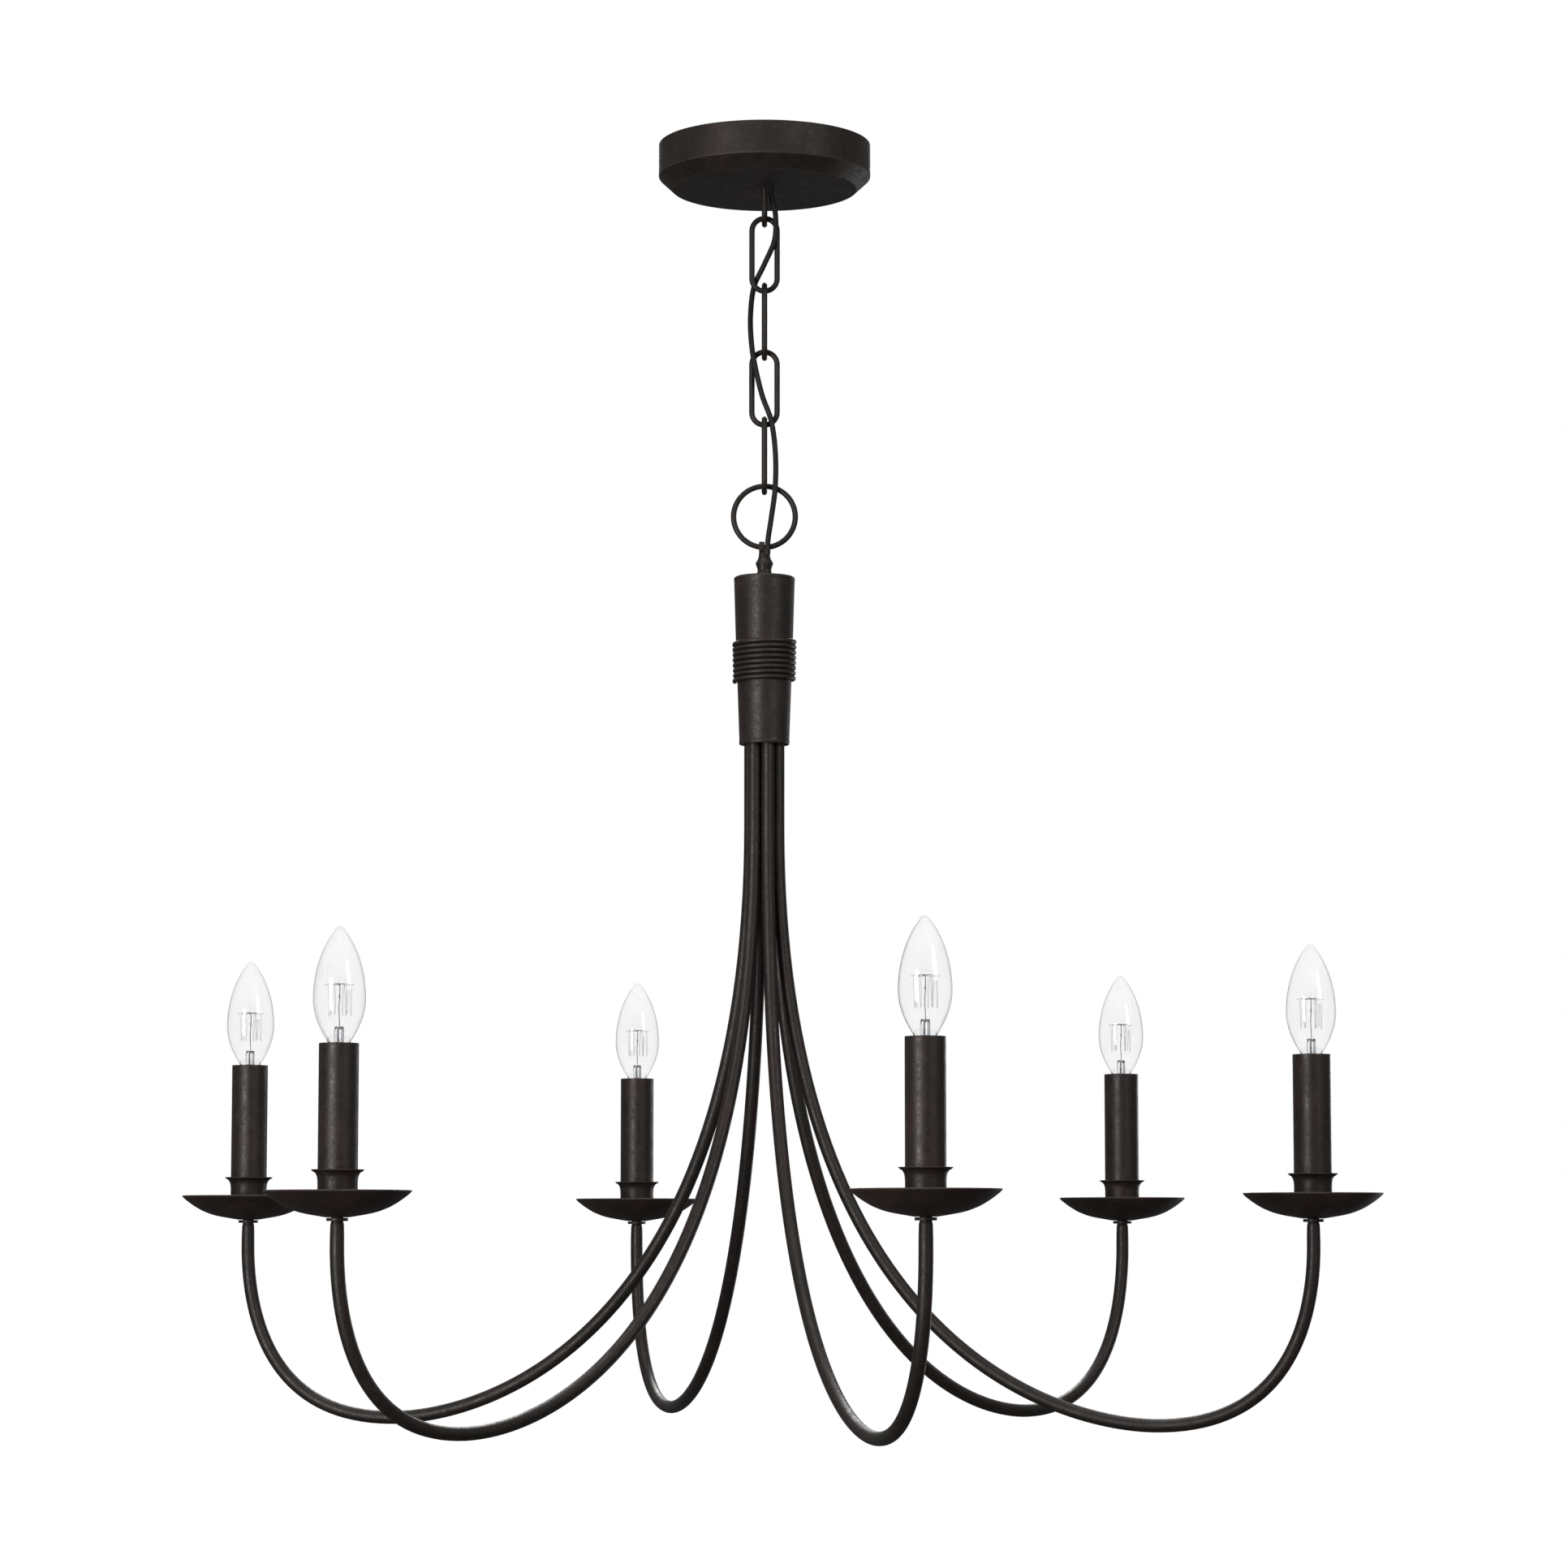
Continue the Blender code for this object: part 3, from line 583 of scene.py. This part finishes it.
def make_cord(surface):
    """The cord in six lengths, each meeting the next on a stiff stretch."""
    fine = curve_through(CORD_ROUTE, 12)
    inner_ends = [min(range(len(fine)), key=lambda k: abs(fine[k].z - cut)) for cut in CORD_CUTS]
    ends = [0, *inner_ends, len(fine) - 1]
    for index, (first, last) in enumerate(zip(ends, ends[1:])):
        path = fine[first:last + 1]
        piece = swept("supply_cord_%d" % (index + 1), path, CORD_RADIUS, 20, surface)
        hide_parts("supply_cord")
        start, end = ((0.0, 0.0, z * MM) for z in CORD_BENDS[index])
        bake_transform(piece)
        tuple(start)
        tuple(end)
        length = sum((b - a).length for a, b in zip(path, path[1:])) * MM
        [point * MM for point in path]


# ---------------------------------------------------------------- canopy

def make_canopy(finish, plate, screw):
    """Spun cup with its slot and screw holes, the strap inside it and the two flush screws."""
    sheet = 1.2
    outer = [(CANOPY_RADIUS, 0.0, 0.35), (CANOPY_RADIUS, -21.6, 1.3), (61.5, CANOPY_BOTTOM, 1.5),
             (0.0, CANOPY_BOTTOM, 0.0)]
    inner = [(0.0, CANOPY_BOTTOM + sheet, 0.0), (61.0, CANOPY_BOTTOM + sheet, -0.8),
             (CANOPY_RADIUS - sheet, -21.0, -0.8), (CANOPY_RADIUS - sheet, 0.0, 0.35)]
    canopy = turned("canopy_shell", rounded([*inner, *outer], steps=5), 160, finish)
    slot_end = 4.5
    slot = [(2.0 + slot_end * math.cos(a), y + slot_end * math.sin(a))
            for y, first in ((6.3, 0.0), (-6.3, math.pi))
            for a in (first + math.pi * k / 12 for k in range(13))]
    carve(canopy, prism("slot_cutter", slot, -34.0, -26.0, finish))
    for side in (1, -1):
        drill(canopy, side, 62.0, finish)
    finish_piece(canopy, "canopy_unit", "canopy")
    make_strap(plate)
    for side, label in ((1, "right"), (-1, "left")):
        socket_end = [(0.0, 69.3, 0.0), (0.8, 69.3, 0.0), (0.8, 70.55, 0.3), (1.3, 70.6, 0.6),
                      (1.6, 70.3, 0.3)]
        thread = [(1.6 - 0.28 * (k % 2), 70.0 - 0.35 * k, 0.0) for k in range(26)]
        made = turned("canopy_screw_end_" + label, [*socket_end, *thread, (0.0, 61.1, 0.0)], 24, screw,
                      (0, 0, SCREW_HEIGHT), axis="X" if side > 0 else "-X")
        finish_piece(made, "canopy_unit", "canopy_screw_" + label)


def make_strap(plate):
    """Bent mounting strap with rounded ends and holes, and the stirrup welded under it."""
    half, thick, reach, drop, bend = 8.0, 2.0, 68.1, 14.0, 2.2
    path = [(-reach + 1, -drop)]
    path += [(-reach + 1 + bend - bend * math.cos(a), -1 - bend + bend * math.sin(a))
             for a in (math.pi / 2 * k / 6 for k in range(7))]
    path += [(x, -1.0) for x in (-40.0, 0.0, 40.0)]
    path += [(-x, z) for x, z in path[:8][::-1]]
    points, faces = [], []
    for index, (x, z) in enumerate(path):
        before, after = path[max(index - 1, 0)], path[min(index + 1, len(path) - 1)]
        along = Vector((after[0] - before[0], after[1] - before[1])).normalized()
        across = Vector((-along.y, along.x)) * thick / 2
        narrow = 0.35
        rim = [(1, half - narrow), (1 - narrow, half), (-1 + narrow, half), (-1, half - narrow)]
        rim += [(t, -y) for t, y in rim[::-1]]
        for t, y in rim:
            points.append((x + across.x * t, y, z + across.y * t))
    ring = 8
    for k in range(len(path) - 1):
        for side in range(ring):
            after = (side + 1) % ring
            faces.append((k * ring + side, k * ring + after, (k + 1) * ring + after, (k + 1) * ring + side))
    faces += [tuple(reversed(range(ring))), tuple(range((len(path) - 1) * ring, len(path) * ring))]
    strap = add_mesh("strap_plate", points, faces, plate)
    for x, radius in ((-44.45, 2.6), (44.45, 2.6), (-26.0, 1.7), (26.0, 1.7)):
        ring_points = [(x + radius * math.cos(a), radius * math.sin(a))
                       for a in (2 * math.pi * k / 24 for k in range(24))]
        carve(strap, prism("hole_cutter", ring_points, -6.0, 6.0, plate))
    for side in (1, -1):
        drill(strap, side, 60.0, plate)
    finish_piece(strap, "canopy_unit", "mounting_strap")
    rod, bow = 2.0, 7.0
    bottom = LOOP_TOP - 2 * WIRE - PLAY - rod
    hook = [(-bow, 0.0, -1.8), (-bow, 0.0, -6.0)]
    hook += [(-bow * math.cos(a), 0.0, bottom + bow - bow * math.sin(a))
             for a in (math.pi * k / 20 for k in range(21))]
    hook += [(bow, 0.0, -6.0), (bow, 0.0, -1.8)]
    finish_piece(swept("strap_stirrup", hook, rod, 20, plate, normal=(0, 1, 0)), "canopy_unit")
    for side, label in ((1, "right"), (-1, "left")):
        bead = rounded([(0.0, -1.9, 0.0), (3.4, -2.0, 0.3), (2.1, -4.2, -0.5), (0.0, -4.3, 0.0)])
        finish_piece(turned("stirrup_weld_" + label, bead, 24, plate, (side * bow, 0, 0)), "canopy_unit")


# ---------------------------------------------------------------- chain

def link_path(top, length, width, plane):
    """A long link's middle line: two half circles and two straight sides."""
    arc, straight = 16, 8
    radius = width / 2 - WIRE
    upper, lower = top - width / 2, top - length + width / 2
    points = []
    for middle, first, goal in ((upper, 0.0, lower), (lower, math.pi, upper)):
        for step in range(arc + 1):
            angle = first + math.pi * step / arc
            points.append((radius * math.cos(angle), middle + radius * math.sin(angle)))
        side = points[-1][0]
        points += [(side, middle + (goal - middle) * step / straight) for step in range(1, straight)]
    if plane == "XZ":
        return [(across, 0.0, height) for across, height in points]
    return [(0.0, across, height) for across, height in points]


def make_link(name, top, length, width, plane, surface, body, node, phase):
    """One bent wire link with a butt weld on one side and rubbed ends."""
    path = link_path(top, length, width, plane)
    middle = top - length / 2
    weld_side = 1 if phase else -1
    weld_height, weld_length, swelling, far_off = 3.0, 0.9, 0.075, 9.0

    def radius_at(point):
        across = point[0] + point[1]
        near = abs(point[2] - middle - weld_height) if across * weld_side > 0 else far_off
        return WIRE * (1.0 + swelling * math.exp(-(near / weld_length)**2))

    def rubbed(centre, out):
        ends = max(0.0, abs(centre.z - middle) - (length / 2 - width / 2)) / (width / 2)
        inward = out.z * (-1 if centre.z > middle else 1)
        return max(0.0, inward) * ends**2

    normal = (0, 1, 0) if plane == "XZ" else (1, 0, 0)
    made = swept(name, path, [radius_at(point) for point in path], 20, surface, closed=True, normal=normal,
                 wear_and_sheen=rubbed)
    finish_piece(made, body, node)


def make_chain(surface):
    """The canopy's loop, four links turned a quarter each time, and the ring."""
    make_link("canopy_loop_wire", LOOP_TOP, LOOP_LENGTH, LINK_WIDTH, "YZ", surface, "canopy_unit",
              "canopy_loop", 0)
    for index in range(4):
        top = PIVOTS[index] + WIRE * 3 + PLAY
        plane = "XZ" if index % 2 == 0 else "YZ"
        make_link("chain_wire_%d" % (index + 1), top, LINK_LENGTH, LINK_WIDTH, plane, surface,
                  "link_%d" % (index + 1), "chain_link_%d" % (index + 1), index % 2)
    middle = PIVOTS[4] + WIRE * 3 + PLAY - RING_WIDTH / 2

    def rubbed(centre, out):
        inward = max(0.0, -out.dot((centre - Vector((0, 0, middle))).normalized()))
        return inward * max(0.0, abs(centre.z - middle) / RING_REACH - 0.8) * 5

    path = [(RING_REACH * math.cos(a), 0.0, middle + RING_REACH * math.sin(a))
            for a in (2 * math.pi * k / 96 for k in range(96))]
    made = swept("ring_wire", path, WIRE, 20, surface, closed=True, normal=(0, 1, 0), wear_and_sheen=rubbed)
    finish_piece(made, "ring", "ring")


# ---------------------------------------------------------------- stem

def make_stem(finish, wrap_finish, finial_finish, hub):
    """Finial with its eye and cord inlet, tapered shell, and the wire wound round it."""
    neck = RING_PIVOT - WIRE - 1.8
    corners = [(0.0, neck, 0.0), (3.5, neck, 0.6), (3.75, neck - 1.2, -0.8), (3.8, -277.8, -1.2),
               (4.15, -279.4, -1.0), (5.75, -282.3, 0.35), (5.85, -282.9, 0.35), (5.3, -284.4, -1.5),
               (4.45, -287.2, -1.5), (5.0, -289.3, -1.5), (6.8, -291.0, 0.5), (6.9, BODY_TOP + 0.1, 0.2),
               (0.0, BODY_TOP + 0.1, 0.0)]
    finial = turned("finial_turning", rounded(corners), 48, finial_finish)
    finish_piece(finial, "fixture", "finial")
    height = RING_PIVOT - 0.15
    eye = rounded([(4.1, -3.6, 1.4), (4.1, 0.1, 1.4), (2.6, 0.1, 0.7), (2.6, -3.6, 0.7)], closed=True,
                  steps=6)
    finish_piece(turned("finial_eye", eye, 48, finial_finish, (0, 0, height), closed=True, axis="X"),
                 "fixture")
    inlet = [(2.1, -4.0, -274.7), (2.0, -3.7, -276.0), (1.7, -2.9, -278.4), (1.4, -2.1, -280.6)]
    narrowing = [2.05] * 5 + [2.0, 1.9, 1.8, 1.65, 1.5, 1.3, 1.1, 0.9]
    finish_piece(swept("finial_inlet", curve_through(inlet, 4), narrowing, 24, finial_finish), "fixture")
    sheet = 1.5
    body = [(3.9, BODY_TOP, -0.3), (19.6, BODY_TOP, 0.7), (20.35, BODY_TOP - 1.2, 0.9),
            (20.1, BODY_TOP - 2.6, -0.6), (18.9, -336.0, -2.0), (17.75, -366.0, -2.0), (16.55, -400.6, -0.6),
            (16.75, BODY_BOTTOM + 1.5, 0.8), (16.45, BODY_BOTTOM, 0.5), (15.0, BODY_BOTTOM, 0.4),
            (15.05, -400.0, -0.5), (16.2, -366.0, -2.0), (17.4, -336.0, -2.0), (18.6, BODY_TOP - 3.0, -0.6),
            (18.2, BODY_TOP - sheet, -0.6), (3.9, BODY_TOP - sheet, -0.3)]
    finish_piece(turned("stem_shell", rounded(body, closed=True, steps=5), 128, finish, closed=True),
                 "fixture", "stem_body")
    turns, lead, pitch, steps, radius, middle = 7.5, 60.0, 3.45, 40, 1.66, 19.68
    path = []
    total = round((lead + 360.0 * turns) / 360.0 * steps)
    for index in range(total + 1):
        degrees = lead - index * 360.0 / steps
        angle = math.radians(degrees)
        flick = 0.35 * max(0.0, (index - total + 6) / 6)**2
        reach = middle - 0.5 * index / total + flick + 0.04 * math.sin(1.7 * angle)
        height = WRAP_TOP + degrees / 360.0 * pitch - 0.5 * flick + 0.07 * math.sin(0.8 * angle + 1.0)
        path.append((reach * math.cos(angle), reach * math.sin(angle), height))

    def rubbed(centre, out):
        return 0.75 * max(0.0, out.dot(Vector((centre.x, centre.y, 0)).normalized()))**3

    finish_piece(swept("wrap_wire", path, radius, 16, wrap_finish, wear_and_sheen=rubbed, chamfer=0.25), "fixture",
                 "wire_wrap")
    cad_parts["arm_hub"].data.materials.clear()
    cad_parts["arm_hub"].data.materials.append(hub)


# ---------------------------------------------------------------- arms and candles

def make_arm(index, surface):
    """One bent tube from the hub to its neck, with the seat disc; gives the seat's centre."""
    azimuth = math.radians(FIRST_ARM + 360.0 / ARM_COUNT * index)
    away = Vector((math.sin(azimuth), -math.cos(azimuth), 0.0))
    leave, slow, speed, rise = ARM_HANDLES
    (near, top), (low_x, low_z), (far, high) = ARM_LEAVE, ARM_LOWEST, ARM_RISE
    route = [(ARM_TOP[0], ARM_TOP[1] + (top - ARM_TOP[1]) * k / 4) for k in range(4)]
    route += bezier(ARM_LEAVE, (near, top - leave), (low_x - slow, low_z), ARM_LOWEST, 64)
    route += bezier(ARM_LOWEST, (low_x + speed, low_z), (far, high - rise), ARM_RISE, 40)
    path = [away * reach + Vector((0, 0, height)) for reach, height in route]
    radii = [ARM_RADIUS] * len(path)
    for height, radius in ((-731.5, 4.33), (-726.0, 4.28), (-722.0, 4.17), (-720.0, 4.1),
                           (-719.3, 3.98), (-718.7, 3.8), (-718.2, 3.66), (-717.8, 3.62), (-716.0, 3.7),
                           (SEAT_Z + 10.5, 3.7)):
        path.append(away * ARM_REACH + Vector((0, 0, height)))
        radii.append(radius)
    across = away.cross(Vector((0, 0, 1)))
    made = swept("arm_tube_%d" % (index + 1), path, radii, 28, surface, normal=tuple(across))
    finish_piece(made, "fixture", "arm_%d" % (index + 1))
    seat = rounded([(3.5, -1.9, -0.1), (6.5, -1.9, -0.15), (6.55, -3.75, -0.3), (3.5, -3.8, -0.1)],
                   closed=True)
    centre = tuple(away * ARM_REACH + Vector((0, 0, SEAT_Z)))
    finish_piece(turned("arm_seat_%d" % (index + 1), seat, 40, surface, centre, closed=True), "fixture")
    return centre


def smooth_outline(points, steps):
    """A smooth line through (radius, height) points."""
    return [(p.x, p.y) for p in curve_through([(x, y, 0.0) for x, y in points], steps)]


def sheet_outline(line, thickness):
    """A thin turned sheet from its outer line (rim first), with a round rim and a square inner edge."""
    inner = inset(line, thickness)
    rim, rim_steps = [], 5
    (ox, oy), (ix, iy) = line[0], inner[0]
    middle = Vector(((ox + ix) / 2, (oy + iy) / 2))
    half = Vector((ix, iy)) - middle
    out = Vector((line[0][0] - line[1][0], line[0][1] - line[1][1])).normalized() * half.length
    # The round rim and the first points of the outline are painted lighter: partly rubbing, partly a painted
    # edge highlight.
    for step in range(1, rim_steps):
        angle = math.pi * step / rim_steps
        p = middle + half * math.cos(angle) + out * math.sin(angle)
        rim.append((p.x, p.y, 1.0))
    outer = [(x, y, max(0.0, 1 - k / 2)) for k, (x, y) in enumerate(line)]
    inside = [(x, y, max(0.0, 1 - k / 2)) for k, (x, y) in enumerate(inner)]
    return outer + inside[::-1] + rim


def make_candle(index, centre, surfaces):
    """Pan, cup, sleeve and lampholder on one arm's seat."""
    label = "_%d" % (index + 1)
    line = smooth_outline([(44.3, 13.9), (43.0, 12.5), (40.5, 10.5), (38.5, 9.0), (35.5, 7.0), (32.1, 5.0),
                           (30.0, 4.0), (24.9, 2.0), (19.1, 0.5), (12.0, -0.75), (7.2, -1.55)], 3)
    line += [(6.4, -1.6), (4.3, -1.6)]
    pan = turned("pan_bowl" + label, sheet_outline(line, 0.9), 128, surfaces["pan"], centre, closed=True)
    finish_piece(pan, "fixture", "drip_pan" + label)
    line = smooth_outline([(15.9, 26.6), (15.0, 25.8), (13.7, 25.0), (12.9, 23.8), (12.4, 22.5),
                           (12.05, 19.5), (12.05, 12.0)], 4)
    line += [(12.05, 4.0), (12.05, 1.2), (11.9, 0.85), (11.5, 0.65), (6.9, -0.35), (4.3, -0.35)]
    cup = turned("cup_wall" + label, sheet_outline(line, 0.4), 96, surfaces["cup"], centre, closed=True)
    finish_piece(cup, "fixture", "candle_cup" + label)
    tube = rounded([(12.0, SLEEVE_TOP, 0.35), (12.0, 25.4, -0.8), (11.3, 24.4, -0.8), (11.3, 1.2, 0.2),
                    (10.3, 1.2, 0.2), (10.3, 24.4, -0.8), (11.0, 25.4, -0.8), (11.0, SLEEVE_TOP, 0.3)],
                   closed=True)
    finish_piece(turned("sleeve_tube" + label, tube, 96, surfaces["sleeve"], centre, closed=True),
                 "fixture", "candle_sleeve" + label)
    holder = [(6.9, 100.0, 0.5), (8.6, 99.6, 0.4), (8.6, 95.2, 0.2), (8.1, 94.9, -0.2), (8.1, 93.6, -0.2),
              (8.6, 93.3, 0.2), (8.6, 73.0, 0.5), (5.8, 69.0, -0.5), (5.8, 0.4, 0.2), (4.3, 0.4, 0.1),
              (4.3, 11.5, -0.1), (2.0, 11.5, 0.1), (2.0, 78.0, 0.1), (6.35, 78.0, -0.1), (6.35, 99.4, 0.3)]
    finish_piece(turned("holder_body" + label, rounded(holder, closed=True), 64, surfaces["holder"], centre,
                        closed=True), "fixture", "lampholder" + label)


def glass_outline():
    """The torpedo bulb from tip to neck as (radius, height) above the seat."""
    tip, widest, radius, neck = 172.2, 129.2, 15.8, 6.5
    line = bezier((0.0, tip), (2.2, tip), (2.6, tip - 1.6), (3.6, tip - 3.0), 7)
    line += bezier((3.6, tip - 3.0), (10.6, tip - 12.0), (radius, tip - 27.0), (radius, widest), 26)
    line += bezier((radius, widest), (radius, widest - 11.0), (11.0, widest - 19.5), (neck, SLEEVE_TOP), 22)
    return line + [(neck, SLEEVE_TOP), (6.25, 101.6), (6.15, 101.0), (6.1, 100.6)]


def make_bulb(index, centre, surfaces):
    """Clear bulb with its screw cap, glass mount, rod, support wires and filament; gives the glass."""
    body = "bulb_%d" % (index + 1)
    label = "_%d" % (index + 1)
    wall = 0.55
    line = glass_outline()
    inner = [(0.0, line[0][1] - wall)] + [(max(0.0, x), y) for x, y in inset(line, wall)[1:]]
    outline = [(x, y, 0.0) for x, y in line] + [(x, y, 0.0) for x, y in inner[::-1]]
    glass = turned("bulb_envelope" + label, outline, 72, surfaces["glass"], centre)
    finish_piece(glass, body, "bulb_glass" + label)

    low, high, run_out, depth, pitch = 82.5, 98.0, 1.5, 0.3, 2.54

    def thread(angle, height):
        if not low < height < high:
            return 0.0
        fade = min(1.0, (height - low) / run_out, (high - height) / run_out)
        return fade * depth * math.sin(2 * math.pi * height / pitch + angle)

    cap = [(0.0, 99.8, 0.0), (5.9, 99.8, 0.0), (6.0, 100.25, 0.0), (5.62, 100.0, 0.0), (5.6, 98.2, 0.0)]
    cap += [(5.55, 98.0 - 0.25 * k, 0.0) for k in range(62)]
    cap += [(5.4, 82.0, 0.0), (4.6, 81.0, 0.0), (3.0, 79.4, 0.0), (2.2, 78.9, 0.0), (1.6, 78.45, 0.0),
            (0.0, 78.4, 0.0)]
    finish_piece(turned("bulb_cap" + label, cap, 48, surfaces["cap"], centre, thread=thread), body,
                 "bulb_base" + label)
    turn = math.radians(BULB_TURNS[index])
    place = Vector(centre)

    def at(x, y, z):
        """A point inside the bulb, turned with it."""
        return place + Vector((x * math.cos(turn) - y * math.sin(turn),
                               x * math.sin(turn) + y * math.cos(turn), z))

    mount = rounded([(0.0, 111.2, 0.0), (2.1, 111.2, 0.5), (2.7, 109.6, -0.6), (2.9, 106.0, -0.6),
                     (2.95, 102.8, -0.6), (4.4, 100.6, 0.2), (4.2, 100.4, 0.1), (0.0, 100.4, 0.0)])
    finish_piece(turned("bulb_mount" + label, mount, 40, surfaces["mount"], centre), body)
    tube = swept("bulb_exhaust" + label, [at(1.0, 0, 100.6), at(1.0, 0, 104.0), at(0.9, 0, 110.3)],
                 [1.5, 1.5, 1.4], 24, surfaces["tube"], chamfer=0.15)
    finish_piece(tube, body)
    collar = [at(2.3 * math.cos(a), 1.9 * math.sin(a), 111.4 + 0.4 * math.sin(5 * a))
              for a in (2 * math.pi * k / 40 for k in range(40))]
    wire = surfaces["wire"]
    parts = [swept("bulb_wires" + label, collar, 0.5, 10, wire, closed=True, normal=(0, 0, 1))]
    rod = [at(0.2, 0.0, 110.0), at(0.1, 0.1, 116.0), at(-0.25, 0.0, 123.5), at(0.15, -0.1, 129.2),
           at(0.25, 0.0, 134.5), at(0.0, 0.0, 137.6), at(-0.8, 0.1, 138.0), at(-1.4, 0.2, 137.5)]
    parts.append(swept("rod", curve_through(rod, 4), 0.27, 10, wire))
    knot = [at(0.5 * math.cos(a), 0.5 * math.sin(a), 129.5 + 0.16 * a) for a in (0.7 * k for k in range(14))]
    parts.append(swept("knot", curve_through(knot, 3), 0.16, 8, wire))
    for x, y, tall in ((-2.75, 0.0, 110.6), (2.6, 0.4, 110.6), (-0.55, -0.6, 111.0)):
        parts.append(swept("lead", [at(x, y, 100.7), at(x, y, 105.0), at(x, y, tall)], 0.24, 10, wire))
    for x, y in ((-7.8, 1.2), (-5.0, -3.2), (-3.4, 4.0), (2.6, -4.2), (3.6, 3.8), (7.7, 0.6)):
        kink = 0.4 if x * y > 0 else -0.4
        spoke = [at(0.0, 0.0, 137.2), at(0.45 * x, 0.45 * y, 137.7 + kink),
                 at(0.8 * x, 0.8 * y, 137.2 - kink), at(x, y, 137.4), at(1.12 * x, 1.12 * y, 137.0)]
        parts.append(swept("spoke", curve_through(spoke, 4), 0.13, 8, wire))
    finish_piece(join(parts), body)
    hung = [(-6.6, 1.5), (-4.4, -2.5), (-3.2, 3.0), (2.4, -3.2), (3.4, 2.6), (4.9, -1.6), (6.5, 1.2)]
    strand = []
    for k, (x, y) in enumerate(hung):
        sway = 0.35 * (-1)**k
        strand += [at(x - 0.5, y, 137.0), at(x - 0.35 + sway, y, 127.5),
                   at(x + sway, y, 118.0 + 0.5 * (k % 3)), at(x + 0.45 + sway, y, 127.5),
                   at(x + 0.7, y, 136.8)]
    filament = swept("bulb_filament" + label, curve_through(strand, 4), 0.085, 6, surfaces["filament"])
    finish_piece(filament, body)
    return glass


# ---------------------------------------------------------------- build

make_camera()
make_cord(plastic("cord_rubber", (0.0110, 0.0095, 0.0088), 0.58, shine=0.25))
outline_lamps = make_studio()
# The canopy's paint is set darker than the other bronze: painted shade standing in for less light on its
# sides.
make_canopy(bronze("canopy_paint", 0.8, rust=0.65, rough=0.6), zinc(), bronze("screw_paint"))
make_chain(bronze("chain_paint", 0.85, rust=0.25, rough=0.52, grain=0.45, rub_and_sheen=0.35))
make_stem(bronze("stem_paint", rust=0.4, rough=0.5),
          bronze("wrap_paint", 0.9, rust=0.3, rough=0.5, grain=0.6),
          bronze("finial_paint", 1.1, rust=0.3, rough=0.5, grain=0.5, rub_and_sheen=0.3),
          steel("hub_steel_bare", (0.30, 0.28, 0.26), 0.45))
candle_surfaces = {
    # The pans' paint is set darker than the other bronze: painted shade for undersides that get little light
    # from below; its warmth and rust are the pans' real brown tinge.
    "pan": bronze("pan_paint", 0.75, rust=0.8, rough=0.62, warmth=1.0),
    "cup": bronze("cup_paint", rust=0.4, rough=0.5),
    "sleeve": bronze("sleeve_paint", rust=0.35, rough=0.48),
    "holder": plastic("holder_phenolic", (0.018, 0.017, 0.016), 0.42, 1300.0),
}
bulb_surfaces = {
    "glass": clear_glass("bulb_blown_glass"),
    "mount": clear_glass("bulb_mount_glass", (0.86, 0.87, 0.88), (0.22, 0.23, 0.24), 0.08),
    "cap": steel("bulb_cap_nickel", (0.62, 0.59, 0.54), 0.28),
    "tube": steel("bulb_tube_grey", (0.42, 0.42, 0.43), 0.35, 0.25),
    "wire": steel("bulb_wire_dark", (0.10, 0.095, 0.09), 0.45),
    "filament": steel("bulb_tungsten", (0.12, 0.115, 0.11), 0.45),
}
arm_paint = bronze("arm_paint", 0.85, grain=0.6, rough=0.5)
envelopes = []
for arm in range(ARM_COUNT):
    seat_centre = make_arm(arm, arm_paint)
    make_candle(arm, seat_centre, candle_surfaces)
    envelopes.append(make_bulb(arm, seat_centre, bulb_surfaces))
keep_off(outline_lamps, envelopes)
